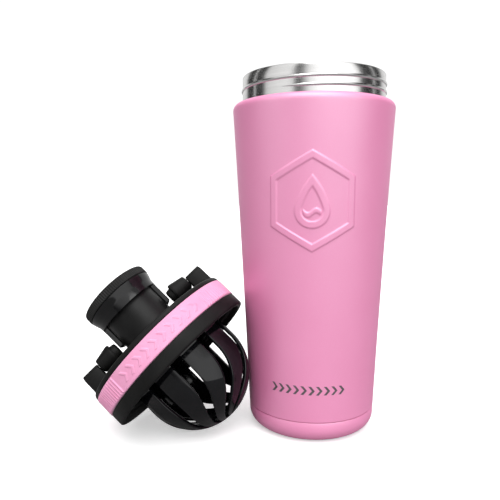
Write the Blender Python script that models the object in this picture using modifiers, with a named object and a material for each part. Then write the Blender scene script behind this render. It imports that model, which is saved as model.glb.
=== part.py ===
"""Protein shaker bottle: an insulated steel tumbler with its pop-top lid leaning beside it.

Metres, +Z up. The bottle stands on Z = 0 with its axis on the Z axis. The lid is modelled
about its own axis, in the frame of the empty lid_frame, whose +Z is the lid's spout side.
"""
import math

import bmesh
import bpy
from mathutils import Matrix, Vector

MM = 0.001
CLEARANCE = 0.3 * MM
FINE_MERGE = 0.00001

# Bottle, heights above the floor and radii about the Z axis
SEGMENTS = 48
RIM_Z = 199.2 * MM
SHELL_TOP_Z = 184.6 * MM
SHOULDER_RADIUS = 3.8 * MM
SHELL_TOP_RADIUS = 45.5 * MM
SEAM_Z = 12.46 * MM
SEAM_RADIUS = 36.55 * MM
WALL_HOLLOW = 1.437 * MM
NECK_RADIUS = 40.07 * MM
WALL = 1.0 * MM
VACUUM_GAP = 3.0 * MM
BASE_FILLET = 8.0 * MM
LINER_FLOOR_Z = 13.0 * MM
LINER_FILLET = 8.0 * MM
PLATE_Z = 6.0 * MM

# Screw thread shared by the neck and the lid
THREAD_PITCH = 4.4 * MM
THREAD_RIDGE = 0.8 * MM
THREAD_FRONT_DEPTH = 10.8 * MM
THREAD_START = math.radians(-120)
THREAD_END = math.radians(400)

# Lid, heights along its axis from the band's lower edge
LID_ORIGIN = Vector((-78.1, -17.7, 42.2)) * MM
LID_LEAN = math.radians(48.7)
LID_NOD = math.radians(7.9)
LID_TURN = math.radians(22.5)
SKIRT_RADIUS = 47.7 * MM
BAND_RADIUS = 48.0 * MM
BAND_SEAT_RADIUS = 44.9 * MM
BAND_HEIGHT = 11.1 * MM
SKIRT_BOTTOM = -7.67 * MM
DECK_TOP = 14.1 * MM
DECK_THICKNESS = 4.5 * MM
MOUTH_RADIUS = 44.6 * MM
LID_THREAD_RADIUS = 41.9 * MM
SPOUT_HOLE_RADIUS = 14.0 * MM

# Carry handle and its hinge, along the lid's X axis
HINGE_HEIGHT = 25.5 * MM
HINGE_PIN_RADIUS = 1.3 * MM
LUG_INNER = 35.3 * MM
LUG_OUTER = 45.9 * MM
LUG_HALF_DEPTH = 4.0 * MM
LUG_TOP = 28.2 * MM
ARM_INNER = 24.0 * MM
ARM_OUTER = 34.8 * MM
EYE_RADIUS = 6.5 * MM
EYE_OUTER_RADIUS = 4.4 * MM
EYE_HUB_RADIUS = 4.8 * MM
EYE_HUB_INNER = 20.6 * MM
HANDLE_REACH = 41.8 * MM
HANDLE_CLEAR_REACH = 35.2 * MM
HANDLE_CLEAR_HALF = 24.6 * MM
HANDLE_CORNER = 24.0 * MM
HANDLE_INNER_CORNER = 13.0 * MM
HANDLE_THICKNESS = 6.0 * MM
HANDLE_DROOP = math.radians(11.5)

# Spout post and pop cap
POST_RADIUS = 16.8 * MM
POST_BORE = 14.4 * MM
POST_TOP = 46.6 * MM
POST_CHAMFER = 0.6 * MM
POST_GROOVE_DROP = 4.5 * MM
POST_GROOVE_HALF = 0.9 * MM
POST_GROOVE_DEPTH = 1.4 * MM
SPIGOT_WALL = 1.8 * MM
PLUG_RADIUS = 3.2 * MM
PLUG_TOP = 49.2 * MM
PLUG_DEPTH = 8.0 * MM
PLUG_TIP_RADIUS = 5.2 * MM
PLUG_TIP_TOP = 50.9 * MM
WEB_COUNT = 3
WEB_FIRST = math.radians(30)
WEB_HALF = 0.8 * MM
WEB_HEIGHT = 3.0 * MM
ORING_RADIUS = 0.5 * MM
CAP_SLEEVE_RADIUS = 19.9 * MM
CAP_SLEEVE_BORE = 17.2 * MM
CAP_SLEEVE_BOTTOM = 25.5 * MM
CAP_WINDOW_TOP = 38.9 * MM
CAP_WINDOW_FRONT = -0.5 * MM
CAP_WINDOW_TILT = math.radians(6.5)
CAP_FLARE_RADIUS = 21.3 * MM
CAP_FLARE_TOP = 44.9 * MM
CAP_WAIST_RADIUS = 20.2 * MM
CAP_WAIST_TOP = 41.6 * MM
CAP_WAIST_BOTTOM = 37.5 * MM
CAP_PLATE = 1.8 * MM
CAP_PLATE_DROP = 0.4 * MM
CAP_RIM_STEP = 1.3 * MM
CAP_RIM_BOTTOM = 46.2 * MM
CAP_TOP = 51.7 * MM
GRIP_RADIUS = 21.9 * MM
GRIP_TEETH = 64
DRINK_HOLE_RADIUS = 5.6 * MM

# Agitator cage
CAGE_RADIUS = 31.6 * MM
CAGE_COLLAR_RADIUS = 32.3 * MM
CAGE_CENTRE = -15.6 * MM
CAGE_WALL = 2.0 * MM
CAGE_TOP = 8.9 * MM
CAGE_SHOULDER = -5.0 * MM
CAGE_SLOTS = 10
CAGE_SLOT_ANGLE = math.radians(12.4)
CAGE_FIRST_SLOT = math.radians(-95.0)
CAGE_SLOT_TOP = -3.0 * MM
CAGE_POLE_RADIUS = 4.5 * MM
CAGE_SWIRL_START = math.radians(90)
CAGE_SWIRL_END = math.radians(8)
CAGE_SWIRL = math.radians(77)
CAGE_SWIRL_BEND = 2.6
BAYONET_SOCKET_RADIUS = 34.6 * MM
BAYONET_COUNT = 3
BAYONET_ANGLE = math.radians(30)
BAYONET_FIRST = math.radians(3.0)
BAYONET_INNER = 31.5 * MM
BAYONET_OUTER = 34.2 * MM
BAYONET_LOW = 2.8 * MM
BAYONET_HIGH = 4.8 * MM


def empty_scene():
    for item in list(bpy.data.objects):
        bpy.data.objects.remove(item, do_unlink=True)


def new_collection(name):
    collection = bpy.data.collections.new(name)
    bpy.context.scene.collection.children.link(collection)
    return collection


def material(name, colour, roughness, metallic=0.0):
    made = bpy.data.materials.new(name)
    made.use_nodes = True
    shader = made.node_tree.nodes["Principled BSDF"]
    shader.inputs["Base Color"].default_value = (*colour, 1.0)
    shader.inputs["Roughness"].default_value = roughness
    shader.inputs["Metallic"].default_value = metallic
    return made


def add_object(name, mesh, finish=None, parent=None, collection=None):
    made = bpy.data.objects.new(name, mesh)
    (collection or PARTS).objects.link(made)
    made.parent = parent
    if finish:
        mesh.materials.append(finish)
    return made


def add_cutter(name, mesh, parent=None):
    made = add_object(name, mesh, parent=parent, collection=CUTTERS)
    made.hide_render = True
    made.display_type = "WIRE"
    return made


def add_boolean(piece, tool, operation):
    modifier = piece.modifiers.new(operation.lower(), "BOOLEAN")
    modifier.operation = operation
    modifier.object = tool
    modifier.solver = "EXACT"


def smooth(mesh, angle=math.radians(35)):
    mesh.shade_smooth()
    mesh.set_sharp_from_angle(angle=angle)


def arc(centre_r, centre_z, radius, start, end, steps):
    """Points of a profile's round stretch, with angles in degrees from the outward direction."""
    points = []
    for step in range(steps + 1):
        angle = math.radians(start + (end - start) * step / steps)
        points.append((centre_r + radius * math.cos(angle), centre_z + radius * math.sin(angle)))
    return points


def turned(name, profile, finish=None, parent=None, segments=SEGMENTS, closed=True, cutter=False):
    """A profile of (radius, height) points, down its outer side first, turned about Z."""
    mesh = bpy.data.meshes.new(name)
    vertices = [(radius, 0.0, height) for radius, height in profile]
    edges = [(index, index + 1) for index in range(len(vertices) - 1)]
    if closed:
        edges.append((len(vertices) - 1, 0))
    mesh.from_pydata(vertices, edges, [])
    piece = add_cutter(name, mesh, parent) if cutter else add_object(name, mesh, finish, parent)
    screw = piece.modifiers.new("turn", "SCREW")
    screw.axis = "Z"
    screw.angle = 2 * math.pi
    screw.steps = segments
    screw.render_steps = segments
    screw.use_merge_vertices = True
    screw.merge_threshold = FINE_MERGE
    screw.use_smooth_shade = True
    return piece


def cylinder_mesh(name, radius, low, high, segments=24, along_x=False):
    """A closed cylinder about Z, or about X, between two heights."""
    mesh = bpy.data.meshes.new(name)
    bm = bmesh.new()
    bmesh.ops.create_cone(
        bm, cap_ends=True, segments=segments, radius1=radius, radius2=radius, depth=high - low
    )
    bmesh.ops.translate(bm, verts=bm.verts, vec=(0, 0, (low + high) / 2))
    if along_x:
        bmesh.ops.rotate(bm, verts=bm.verts, matrix=Matrix.Rotation(math.pi / 2, 3, "Y"))
    bm.to_mesh(mesh)
    bm.free()
    return mesh


def box_mesh(name, low, high):
    mesh = bpy.data.meshes.new(name)
    bm = bmesh.new()
    bmesh.ops.create_cube(bm, size=1.0)
    size = [b - a for a, b in zip(low, high)]
    middle = [(a + b) / 2 for a, b in zip(low, high)]
    bmesh.ops.scale(bm, verts=bm.verts, vec=size)
    bmesh.ops.translate(bm, verts=bm.verts, vec=middle)
    bm.to_mesh(mesh)
    bm.free()
    return mesh


def sector_mesh(name, inner, outer, levels, half_angle, directions, steps=4):
    """Upright blocks between two radii, one at each direction, through (height, turn) levels."""
    mesh = bpy.data.meshes.new(name)
    bm = bmesh.new()
    for direction in directions:
        angles = [direction - half_angle + 2 * half_angle * step / steps for step in range(steps + 1)]
        ring = [(outer * math.cos(a), outer * math.sin(a)) for a in angles]
        ring += [(inner * math.cos(a), inner * math.sin(a)) for a in reversed(angles)]
        height, turn = levels[0]
        top = bm.faces.new([bm.verts.new((x, y, height)) for x, y in ring])
        bmesh.ops.rotate(bm, verts=top.verts, matrix=Matrix.Rotation(turn, 3, "Z"))
        for next_height, next_turn in levels[1:]:
            grown = bmesh.ops.extrude_face_region(bm, geom=[top])
            moved = [item for item in grown["geom"] if isinstance(item, bmesh.types.BMVert)]
            if height != levels[0][0]:
                bmesh.ops.delete(bm, geom=[top], context="FACES_ONLY")
            top = [item for item in grown["geom"] if isinstance(item, bmesh.types.BMFace)][0]
            bmesh.ops.translate(bm, verts=moved, vec=(0, 0, next_height - height))
            spin = Matrix.Rotation(next_turn - turn, 3, "Z")
            bmesh.ops.rotate(bm, verts=moved, matrix=spin)
            height, turn = next_height, next_turn
    bmesh.ops.recalc_face_normals(bm, faces=bm.faces)
    bm.to_mesh(mesh)
    bm.free()
    return mesh


def mesh_from_curve(name, curve, parent=None):
    """A closed mesh cutter made from a curve, with its loose caps welded on."""
    source = bpy.data.objects.new(name + "_curve", curve)
    CUTTERS.objects.link(source)
    source.parent = parent
    bpy.context.view_layer.update()
    evaluated = source.evaluated_get(bpy.context.evaluated_depsgraph_get())
    mesh = bpy.data.meshes.new_from_object(evaluated)
    place = source.matrix_world.copy()
    bpy.data.objects.remove(source, do_unlink=True)
    bm = bmesh.new()
    bm.from_mesh(mesh)
    bmesh.ops.remove_doubles(bm, verts=bm.verts, dist=FINE_MERGE)
    bmesh.ops.recalc_face_normals(bm, faces=bm.faces)
    bm.to_mesh(mesh)
    bm.free()
    made = add_cutter(name, mesh)
    made.matrix_world = place
    return made


def thread_ridge(name, radius, ridge, height_at, parent=None, points_per_turn=28):
    """A right-hand helical ridge as a thin tube that runs out at both ends."""
    count = int(points_per_turn * (THREAD_END - THREAD_START) / (2 * math.pi))
    curve = bpy.data.curves.new(name, "CURVE")
    curve.dimensions = "3D"
    curve.bevel_depth = ridge
    curve.bevel_resolution = 1
    curve.use_fill_caps = True
    spline = curve.splines.new("POLY")
    spline.points.add(count)
    for index, point in enumerate(spline.points):
        share = index / count
        turn = THREAD_START + (THREAD_END - THREAD_START) * share
        point.co = (radius * math.cos(turn), radius * math.sin(turn), height_at(turn), 1.0)
        point.radius = min(1.0, 0.35 + 12 * min(share, 1 - share))
    return mesh_from_curve(name, curve, parent)


# ---------------------------------------------------------------- bottle


def shell_radius(height):
    """The tapered wall's outer radius, slightly hollow between the seam and the shoulder."""
    share = (height - SEAM_Z) / (SHELL_TOP_Z - SHOULDER_RADIUS - SEAM_Z)
    straight = SEAM_RADIUS + (SHELL_TOP_RADIUS - SEAM_RADIUS) * share
    return straight - WALL_HOLLOW * share * (1 - share)


def wall_points(top, bottom, inset, steps=4):
    heights = [top + (bottom - top) * step / steps for step in range(steps + 1)]
    return [(shell_radius(height) - inset, height) for height in heights]


def make_outer_shell():
    shoulder_z = SHELL_TOP_Z - SHOULDER_RADIUS
    bottom = SEAM_Z + 0.1 * MM
    collar = NECK_RADIUS + CLEARANCE
    outside = [(collar, SHELL_TOP_Z)]
    outside += arc(SHELL_TOP_RADIUS - SHOULDER_RADIUS, shoulder_z, SHOULDER_RADIUS, 75, 0, 4)
    outside += wall_points(shoulder_z, bottom, 0)[1:]
    inside = wall_points(bottom, shoulder_z, WALL)
    inside += arc(SHELL_TOP_RADIUS - SHOULDER_RADIUS, shoulder_z, SHOULDER_RADIUS - WALL, 25, 75, 2)
    inside.append((collar, SHELL_TOP_Z - WALL))
    return turned("outer_shell", outside + inside, PINK_COAT)


def make_inner_vessel():
    inset = WALL + VACUUM_GAP
    neck_bottom = SHELL_TOP_Z - SHOULDER_RADIUS
    wall_top = neck_bottom - 8 * MM
    floor_edge = LINER_FLOOR_Z + LINER_FILLET
    corner = shell_radius(floor_edge) - inset - LINER_FILLET
    outside = [(NECK_RADIUS - 0.4 * MM, RIM_Z), (NECK_RADIUS, RIM_Z - 0.5 * MM)]
    outside += [(NECK_RADIUS, neck_bottom)]
    outside += wall_points(wall_top, floor_edge, inset, 3)
    outside += arc(corner, floor_edge, LINER_FILLET, -25, -90, 3)
    outside.append((0.0, LINER_FLOOR_Z))
    inside = [(0.0, LINER_FLOOR_Z + WALL)]
    inside += arc(corner, floor_edge, LINER_FILLET - WALL, -90, -25, 3)
    inside += wall_points(floor_edge, wall_top, inset + WALL, 3)
    bore = NECK_RADIUS - 1.1 * MM
    inside += [(bore, neck_bottom), (bore, RIM_Z - 0.5 * MM), (bore + 0.4 * MM, RIM_Z)]
    vessel = turned("inner_vessel", outside + inside, BRUSHED_STEEL)

    def ridge_height(turn):
        return RIM_Z - THREAD_FRONT_DEPTH + THREAD_PITCH * (turn + math.pi / 2) / (2 * math.pi)

    ridge = thread_ridge("neck_thread", NECK_RADIUS, THREAD_RIDGE, ridge_height)
    add_boolean(vessel, ridge, "UNION")


def make_base_cup():
    top = SEAM_Z - 0.3 * MM
    edge = shell_radius(BASE_FILLET)
    corner = edge - BASE_FILLET
    outside = [(SEAM_RADIUS - 0.1 * MM, top), (edge, BASE_FILLET)]
    outside += arc(corner, BASE_FILLET, BASE_FILLET, -18, -90, 4)
    outside.append((0.0, 0.0))
    inside = [(0.0, WALL)]
    inside += arc(corner, BASE_FILLET, BASE_FILLET - WALL, -90, -18, 3)
    inside += [(edge - WALL, BASE_FILLET), (SEAM_RADIUS - 0.1 * MM - WALL, top)]
    turned("base_cup", outside + inside, PINK_COAT)


def make_vacuum_base():
    """The steel plate that closes the jacket, with an upstand behind the seam."""
    top = SEAM_Z + 5 * MM
    rim = shell_radius(SEAM_Z) - WALL - CLEARANCE - 0.1 * MM
    low_rim = shell_radius(BASE_FILLET) - WALL - CLEARANCE
    outside = [(rim, top), (rim, SEAM_Z), (low_rim - 0.4 * MM, BASE_FILLET + MM)]
    outside += [(low_rim - 4 * MM, PLATE_Z - 2 * MM), (8 * MM, PLATE_Z - 2 * MM)]
    outside += [(7 * MM, PLATE_Z), (0.0, PLATE_Z)]
    inside = [(0.0, PLATE_Z + WALL), (8 * MM, PLATE_Z + WALL)]
    inside += [(9 * MM, PLATE_Z - MM), (low_rim - 4.4 * MM, PLATE_Z - MM)]
    inside += [(low_rim - 1.5 * MM, BASE_FILLET + MM), (rim - WALL, SEAM_Z), (rim - WALL, top)]
    turned("vacuum_base", outside + inside, BRUSHED_STEEL, segments=40)


def make_vacuum_trim():
    """The plug that seals the pumped-out jacket, and the getter pellet inside it."""
    plug_top = PLATE_Z - CLEARANCE
    plug = [(3.0 * MM, plug_top), (3.0 * MM, plug_top - 1.2 * MM), (0.0, plug_top - 1.2 * MM)]
    turned("seal_plug", plug + [(0.0, plug_top)], SOLDER, segments=20)
    low = PLATE_Z - MM + CLEARANCE
    at = Vector((18 * MM, 0, 0))
    pellet = [(4.0 * MM, low + 1.2 * MM), (4.0 * MM, low), (0.0, low), (0.0, low + 1.2 * MM)]
    getter = turned("vacuum_getter", pellet, GETTER_METAL, segments=20)
    getter.location = at


# ---------------------------------------------------------------- lid


def make_lid_frame():
    frame = bpy.data.objects.new("lid_frame", None)
    PARTS.objects.link(frame)
    lean = Matrix.Rotation(-LID_LEAN, 4, "Y")
    nod = Matrix.Rotation(-LID_NOD, 4, "X")
    turn = Matrix.Rotation(LID_TURN, 4, "Z")
    frame.matrix_world = Matrix.Translation(LID_ORIGIN) @ lean @ nod @ turn
    return frame


def lug_mesh(name, side):
    """A hinge lug: an upright block with a round back, rising from the deck."""
    mesh = bpy.data.meshes.new(name)
    bm = bmesh.new()
    radius = LUG_HALF_DEPTH
    outline = [(-radius, DECK_TOP - 2 * MM), (radius, DECK_TOP - 2 * MM)]
    for step in range(9):
        angle = math.pi * step / 8
        outline.append((radius * math.cos(angle), LUG_TOP - radius * (1 - math.sin(angle))))
    face = bm.faces.new([bm.verts.new((LUG_INNER, y, z)) for y, z in outline])
    grown = bmesh.ops.extrude_face_region(bm, geom=[face])
    moved = [item for item in grown["geom"] if isinstance(item, bmesh.types.BMVert)]
    bmesh.ops.translate(bm, verts=moved, vec=(LUG_OUTER - LUG_INNER, 0, 0))
    if side < 0:
        bmesh.ops.rotate(bm, verts=bm.verts, matrix=Matrix.Rotation(math.pi, 3, "Z"))
    bmesh.ops.recalc_face_normals(bm, faces=bm.faces)
    bm.to_mesh(mesh)
    bm.free()
    return mesh


def make_lid_shell(frame):
    under = DECK_TOP - DECK_THICKNESS
    edge = 1.5 * MM
    seat_low = -CLEARANCE
    seat_high = BAND_HEIGHT + CLEARANCE
    outside = [(SPOUT_HOLE_RADIUS, DECK_TOP)]
    outside += arc(SKIRT_RADIUS - edge, DECK_TOP - edge, edge, 90, 0, 2)
    outside += [(SKIRT_RADIUS, seat_high), (BAND_SEAT_RADIUS, seat_high)]
    outside += [(BAND_SEAT_RADIUS, seat_low), (SKIRT_RADIUS, seat_low)]
    outside += arc(SKIRT_RADIUS - edge, SKIRT_BOTTOM + edge, edge, 0, -90, 2)
    inside = [(MOUTH_RADIUS, SKIRT_BOTTOM), (MOUTH_RADIUS, -4.5 * MM), (LID_THREAD_RADIUS, -3.5 * MM)]
    inside += [(LID_THREAD_RADIUS, under)]
    socket = BAYONET_SOCKET_RADIUS
    inside += [(socket + 2 * MM, under), (socket + 2 * MM, 0.6 * MM), (socket, 0.6 * MM)]
    inside += [(socket, under), (SPOUT_HOLE_RADIUS, under)]
    shell = turned("lid_shell", outside + inside, MATTE_BLACK, frame)
    for side in (1, -1):
        name = "lug_right" if side > 0 else "lug_left"
        add_boolean(shell, add_cutter(name, lug_mesh(name, side), frame), "UNION")
    step = 2 * math.pi / BAYONET_COUNT
    directions = [BAYONET_FIRST + step * index for index in range(BAYONET_COUNT)]
    low = 1.0 * MM
    levels = [(low, 0.0), (low + 1.6 * MM, 0.0)]
    catches = sector_mesh(
        "bayonet_catches", 32.8 * MM, socket + MM, levels, BAYONET_ANGLE / 2, directions
    )
    add_boolean(shell, add_cutter("bayonet_catches", catches, frame), "UNION")

    def ridge_height(turn):
        middle = (THREAD_START + THREAD_END) / 2
        return 2.8 * MM + THREAD_PITCH * (turn - middle) / (2 * math.pi)

    ridge = thread_ridge("lid_thread", LID_THREAD_RADIUS, 0.6 * MM, ridge_height, frame)
    add_boolean(shell, ridge, "UNION")
    gap = HINGE_PIN_RADIUS + CLEARANCE
    bore = cylinder_mesh("lug_bore", gap, -LUG_OUTER + MM, LUG_OUTER - MM, 16, along_x=True)
    tool = add_cutter("lug_bore", bore, frame)
    tool.location = (0, 0, HINGE_HEIGHT)
    add_boolean(shell, tool, "DIFFERENCE")


def make_lid_band(frame):
    chamfer = 0.5 * MM
    seat = BAND_SEAT_RADIUS + CLEARANCE
    outside = [(BAND_RADIUS - chamfer, BAND_HEIGHT), (BAND_RADIUS, BAND_HEIGHT - chamfer)]
    outside += [(BAND_RADIUS, chamfer), (BAND_RADIUS - chamfer, 0.0)]
    turned("lid_band", outside + [(seat, 0.0), (seat, BAND_HEIGHT)], PINK_SILICONE, frame)


def make_lid_gasket(frame):
    top = DECK_TOP - DECK_THICKNESS - CLEARANCE
    outer = LID_THREAD_RADIUS - 0.8 * MM
    inner = BAYONET_SOCKET_RADIUS + 2.4 * MM
    profile = [(outer, top), (outer, top - 1.6 * MM), (inner, top - 1.6 * MM), (inner, top)]
    turned("lid_gasket", profile, CLEAR_SILICONE, frame)


def make_hinge_pins(frame):
    for side, name in ((1, "hinge_pin_right"), (-1, "hinge_pin_left")):
        low, high = sorted((side * (EYE_HUB_INNER + MM), side * (LUG_OUTER - 1.5 * MM)))
        mesh = cylinder_mesh(name, HINGE_PIN_RADIUS, low, high, 16, along_x=True)
        smooth(mesh)
        pin = add_object(name, mesh, BRUSHED_STEEL, frame)
        pin.location = (0, 0, HINGE_HEIGHT)


def make_spout_post(frame):
    """The fixed drinking spout, with a central plug held by three webs."""
    seat = DECK_TOP + CLEARANCE
    spigot = SPOUT_HOLE_RADIUS - CLEARANCE
    low = DECK_TOP - DECK_THICKNESS
    groove = POST_TOP - POST_GROOVE_DROP
    groove_radius = POST_RADIUS - POST_GROOVE_DEPTH
    outside = [(POST_RADIUS - POST_CHAMFER, POST_TOP), (POST_RADIUS, POST_TOP - POST_CHAMFER)]
    outside += [(POST_RADIUS, groove + POST_GROOVE_HALF), (groove_radius, groove + POST_GROOVE_HALF)]
    outside += [(groove_radius, groove - POST_GROOVE_HALF), (POST_RADIUS, groove - POST_GROOVE_HALF)]
    outside += [(POST_RADIUS, seat), (spigot, seat), (spigot, low)]
    bore = spigot - SPIGOT_WALL
    inside = [(bore, low), (bore, seat + 2 * MM), (POST_BORE, seat + 4 * MM), (POST_BORE, POST_TOP)]
    post = turned("spout_post", outside + inside, SATIN_BLACK, frame)
    stem_low = POST_TOP - PLUG_DEPTH
    stem = cylinder_mesh("plug_stem", PLUG_RADIUS, stem_low, PLUG_TOP, 20)
    add_boolean(post, add_cutter("plug_stem", stem, frame), "UNION")
    for index in range(WEB_COUNT):
        high = (POST_BORE + MM, WEB_HALF, stem_low + WEB_HEIGHT)
        tool = add_cutter("plug_web_" + str(index), box_mesh("web", (0, -WEB_HALF, stem_low), high), frame)
        tool.rotation_euler = (0, 0, WEB_FIRST + 2 * math.pi * index / WEB_COUNT)
        add_boolean(post, tool, "UNION")
    ring = arc(POST_RADIUS - ORING_RADIUS + 0.05 * MM, groove, ORING_RADIUS, 0, -315, 7)
    turned("spout_oring", ring, CLEAR_SILICONE, frame, segments=36)
    socket = PLUG_RADIUS + CLEARANCE
    floor = PLUG_TOP + CLEARANCE
    tip = [(PLUG_TIP_RADIUS - 0.8 * MM, PLUG_TIP_TOP), (PLUG_TIP_RADIUS, PLUG_TIP_TOP - 0.6 * MM)]
    tip += [(PLUG_TIP_RADIUS, floor - 2 * MM), (socket, floor - 2 * MM), (socket, floor)]
    tip += [(0.0, floor), (0.0, PLUG_TIP_TOP)]
    turned("plug_tip", tip, CLEAR_SILICONE, frame, segments=28)


def make_pop_cap(frame):
    """The pull-up cap: a flared shell with a drinking hole and a guide sleeve behind the post."""
    rim = GRIP_RADIUS - CAP_RIM_STEP
    top = CAP_TOP - CAP_PLATE_DROP
    outside = [(DRINK_HOLE_RADIUS, top - 0.6 * MM), (DRINK_HOLE_RADIUS + 2 * MM, top)]
    outside += [(rim - MM, top), (rim, top - 0.8 * MM), (rim, CAP_RIM_BOTTOM)]
    outside += [(rim + MM, CAP_RIM_BOTTOM - 0.1 * MM), (CAP_FLARE_RADIUS, CAP_FLARE_TOP)]
    outside += [(CAP_WAIST_RADIUS, CAP_WAIST_TOP), (CAP_SLEEVE_RADIUS, CAP_WAIST_BOTTOM)]
    outside += [(CAP_SLEEVE_RADIUS, CAP_SLEEVE_BOTTOM)]
    under = top - CAP_PLATE
    inside = [(CAP_SLEEVE_BORE, CAP_SLEEVE_BOTTOM), (CAP_SLEEVE_BORE, under - MM)]
    inside += [(CAP_SLEEVE_BORE - MM, under), (DRINK_HOLE_RADIUS, under)]
    cap = turned("pop_cap", outside + inside, GLOSS_BLACK, frame)
    reach = 30 * MM
    window = box_mesh("cap_window", (-reach, -reach, -reach), (reach, CAP_WINDOW_FRONT, 0))
    tool = add_cutter("cap_window", window, frame)
    tool.location = (0, 0, CAP_WINDOW_TOP)
    tool.rotation_euler = (CAP_WINDOW_TILT, 0, 0)
    add_boolean(cap, tool, "DIFFERENCE")


def make_cap_grip_ring(frame):
    """The ribbed grip ring round the cap's rim, cut from a toothed outline."""
    curve = bpy.data.curves.new("cap_grip_ring", "CURVE")
    curve.dimensions = "2D"
    curve.fill_mode = "BOTH"
    curve.extrude = (CAP_TOP - CAP_RIM_BOTTOM - CLEARANCE) / 2
    inner = GRIP_RADIUS - CAP_RIM_STEP + CLEARANCE
    for radii in ((GRIP_RADIUS, GRIP_RADIUS - 0.3 * MM), (inner, inner)):
        spline = curve.splines.new("POLY")
        count = 2 * GRIP_TEETH if radii[0] > inner else SEGMENTS
        spline.points.add(count - 1)
        spline.use_cyclic_u = True
        for index, point in enumerate(spline.points):
            angle = 2 * math.pi * index / count
            radius = radii[index % 2]
            point.co = (radius * math.cos(angle), radius * math.sin(angle), 0, 1)
    source = mesh_from_curve("grip_outline", curve)
    mesh = source.data
    bpy.data.objects.remove(source, do_unlink=True)
    mesh.materials.clear()
    ring = add_object("cap_grip_ring", mesh, GREY_BLACK, frame)
    ring.location = (0, 0, (CAP_TOP + CAP_RIM_BOTTOM + CLEARANCE) / 2)


def make_handle(frame):
    """The carry bail: a flat loop with a turned eye at each end, on the hinge axis."""
    axis = bpy.data.objects.new("handle_axis", None)
    PARTS.objects.link(axis)
    axis.parent = frame
    axis.location = (0, 0, HINGE_HEIGHT)
    axis.rotation_euler = (-HANDLE_DROOP, 0, 0)
    curve = bpy.data.curves.new("carry_handle", "CURVE")
    curve.dimensions = "2D"
    curve.fill_mode = "BOTH"
    curve.extrude = HANDLE_THICKNESS / 2 - 1.0 * MM
    curve.bevel_depth = 1.0 * MM
    curve.bevel_resolution = 1
    inset = curve.bevel_depth
    half, reach = ARM_OUTER - inset, HANDLE_REACH - inset
    clear_half, clear_reach = HANDLE_CLEAR_HALF + inset, HANDLE_CLEAR_REACH + inset
    corner, inner_corner = HANDLE_CORNER, HANDLE_INNER_CORNER
    outline = [(clear_half, 0), (half, 0)]
    outline += [(x, y) for x, y in arc(half - corner, reach - corner, corner, 0, 90, 7)]
    outline += [(-x, y) for x, y in arc(half - corner, reach - corner, corner, 90, 0, 7)]
    outline += [(-half, 0), (-clear_half, 0)]
    inner_x, inner_y = clear_half - inner_corner, clear_reach - inner_corner
    outline += [(-x, y) for x, y in arc(inner_x, inner_y, inner_corner, 0, 90, 6)]
    outline += [(x, y) for x, y in arc(inner_x, inner_y, inner_corner, 90, 0, 6)]
    spline = curve.splines.new("POLY")
    spline.points.add(len(outline) - 1)
    spline.use_cyclic_u = True
    for point, (x, y) in zip(spline.points, outline):
        point.co = (x, y, 0, 1)
    source = mesh_from_curve("handle_outline", curve)
    mesh = source.data
    bpy.data.objects.remove(source, do_unlink=True)
    mesh.materials.clear()
    handle = add_object("carry_handle", mesh, MATTE_BLACK, axis)
    for side in (1, -1):
        name = "eye_right" if side > 0 else "eye_left"
        profile = [(0.0, ARM_OUTER), (EYE_OUTER_RADIUS, ARM_OUTER)]
        profile += [(EYE_RADIUS, ARM_INNER + MM), (EYE_RADIUS - 0.4 * MM, ARM_INNER)]
        profile += [(EYE_HUB_RADIUS, ARM_INNER), (EYE_HUB_RADIUS - 0.6 * MM, EYE_HUB_INNER)]
        profile += [(0.0, EYE_HUB_INNER)]
        eye = turned(name, profile, parent=axis, segments=24, closed=False, cutter=True)
        eye.rotation_euler = (0, side * math.pi / 2, 0)
        add_boolean(handle, eye, "UNION")
    gap = HINGE_PIN_RADIUS + CLEARANCE
    bore = cylinder_mesh("eye_bore", gap, -ARM_OUTER - MM, ARM_OUTER + MM, 16, along_x=True)
    add_boolean(handle, add_cutter("eye_bore", bore, axis), "DIFFERENCE")


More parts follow.
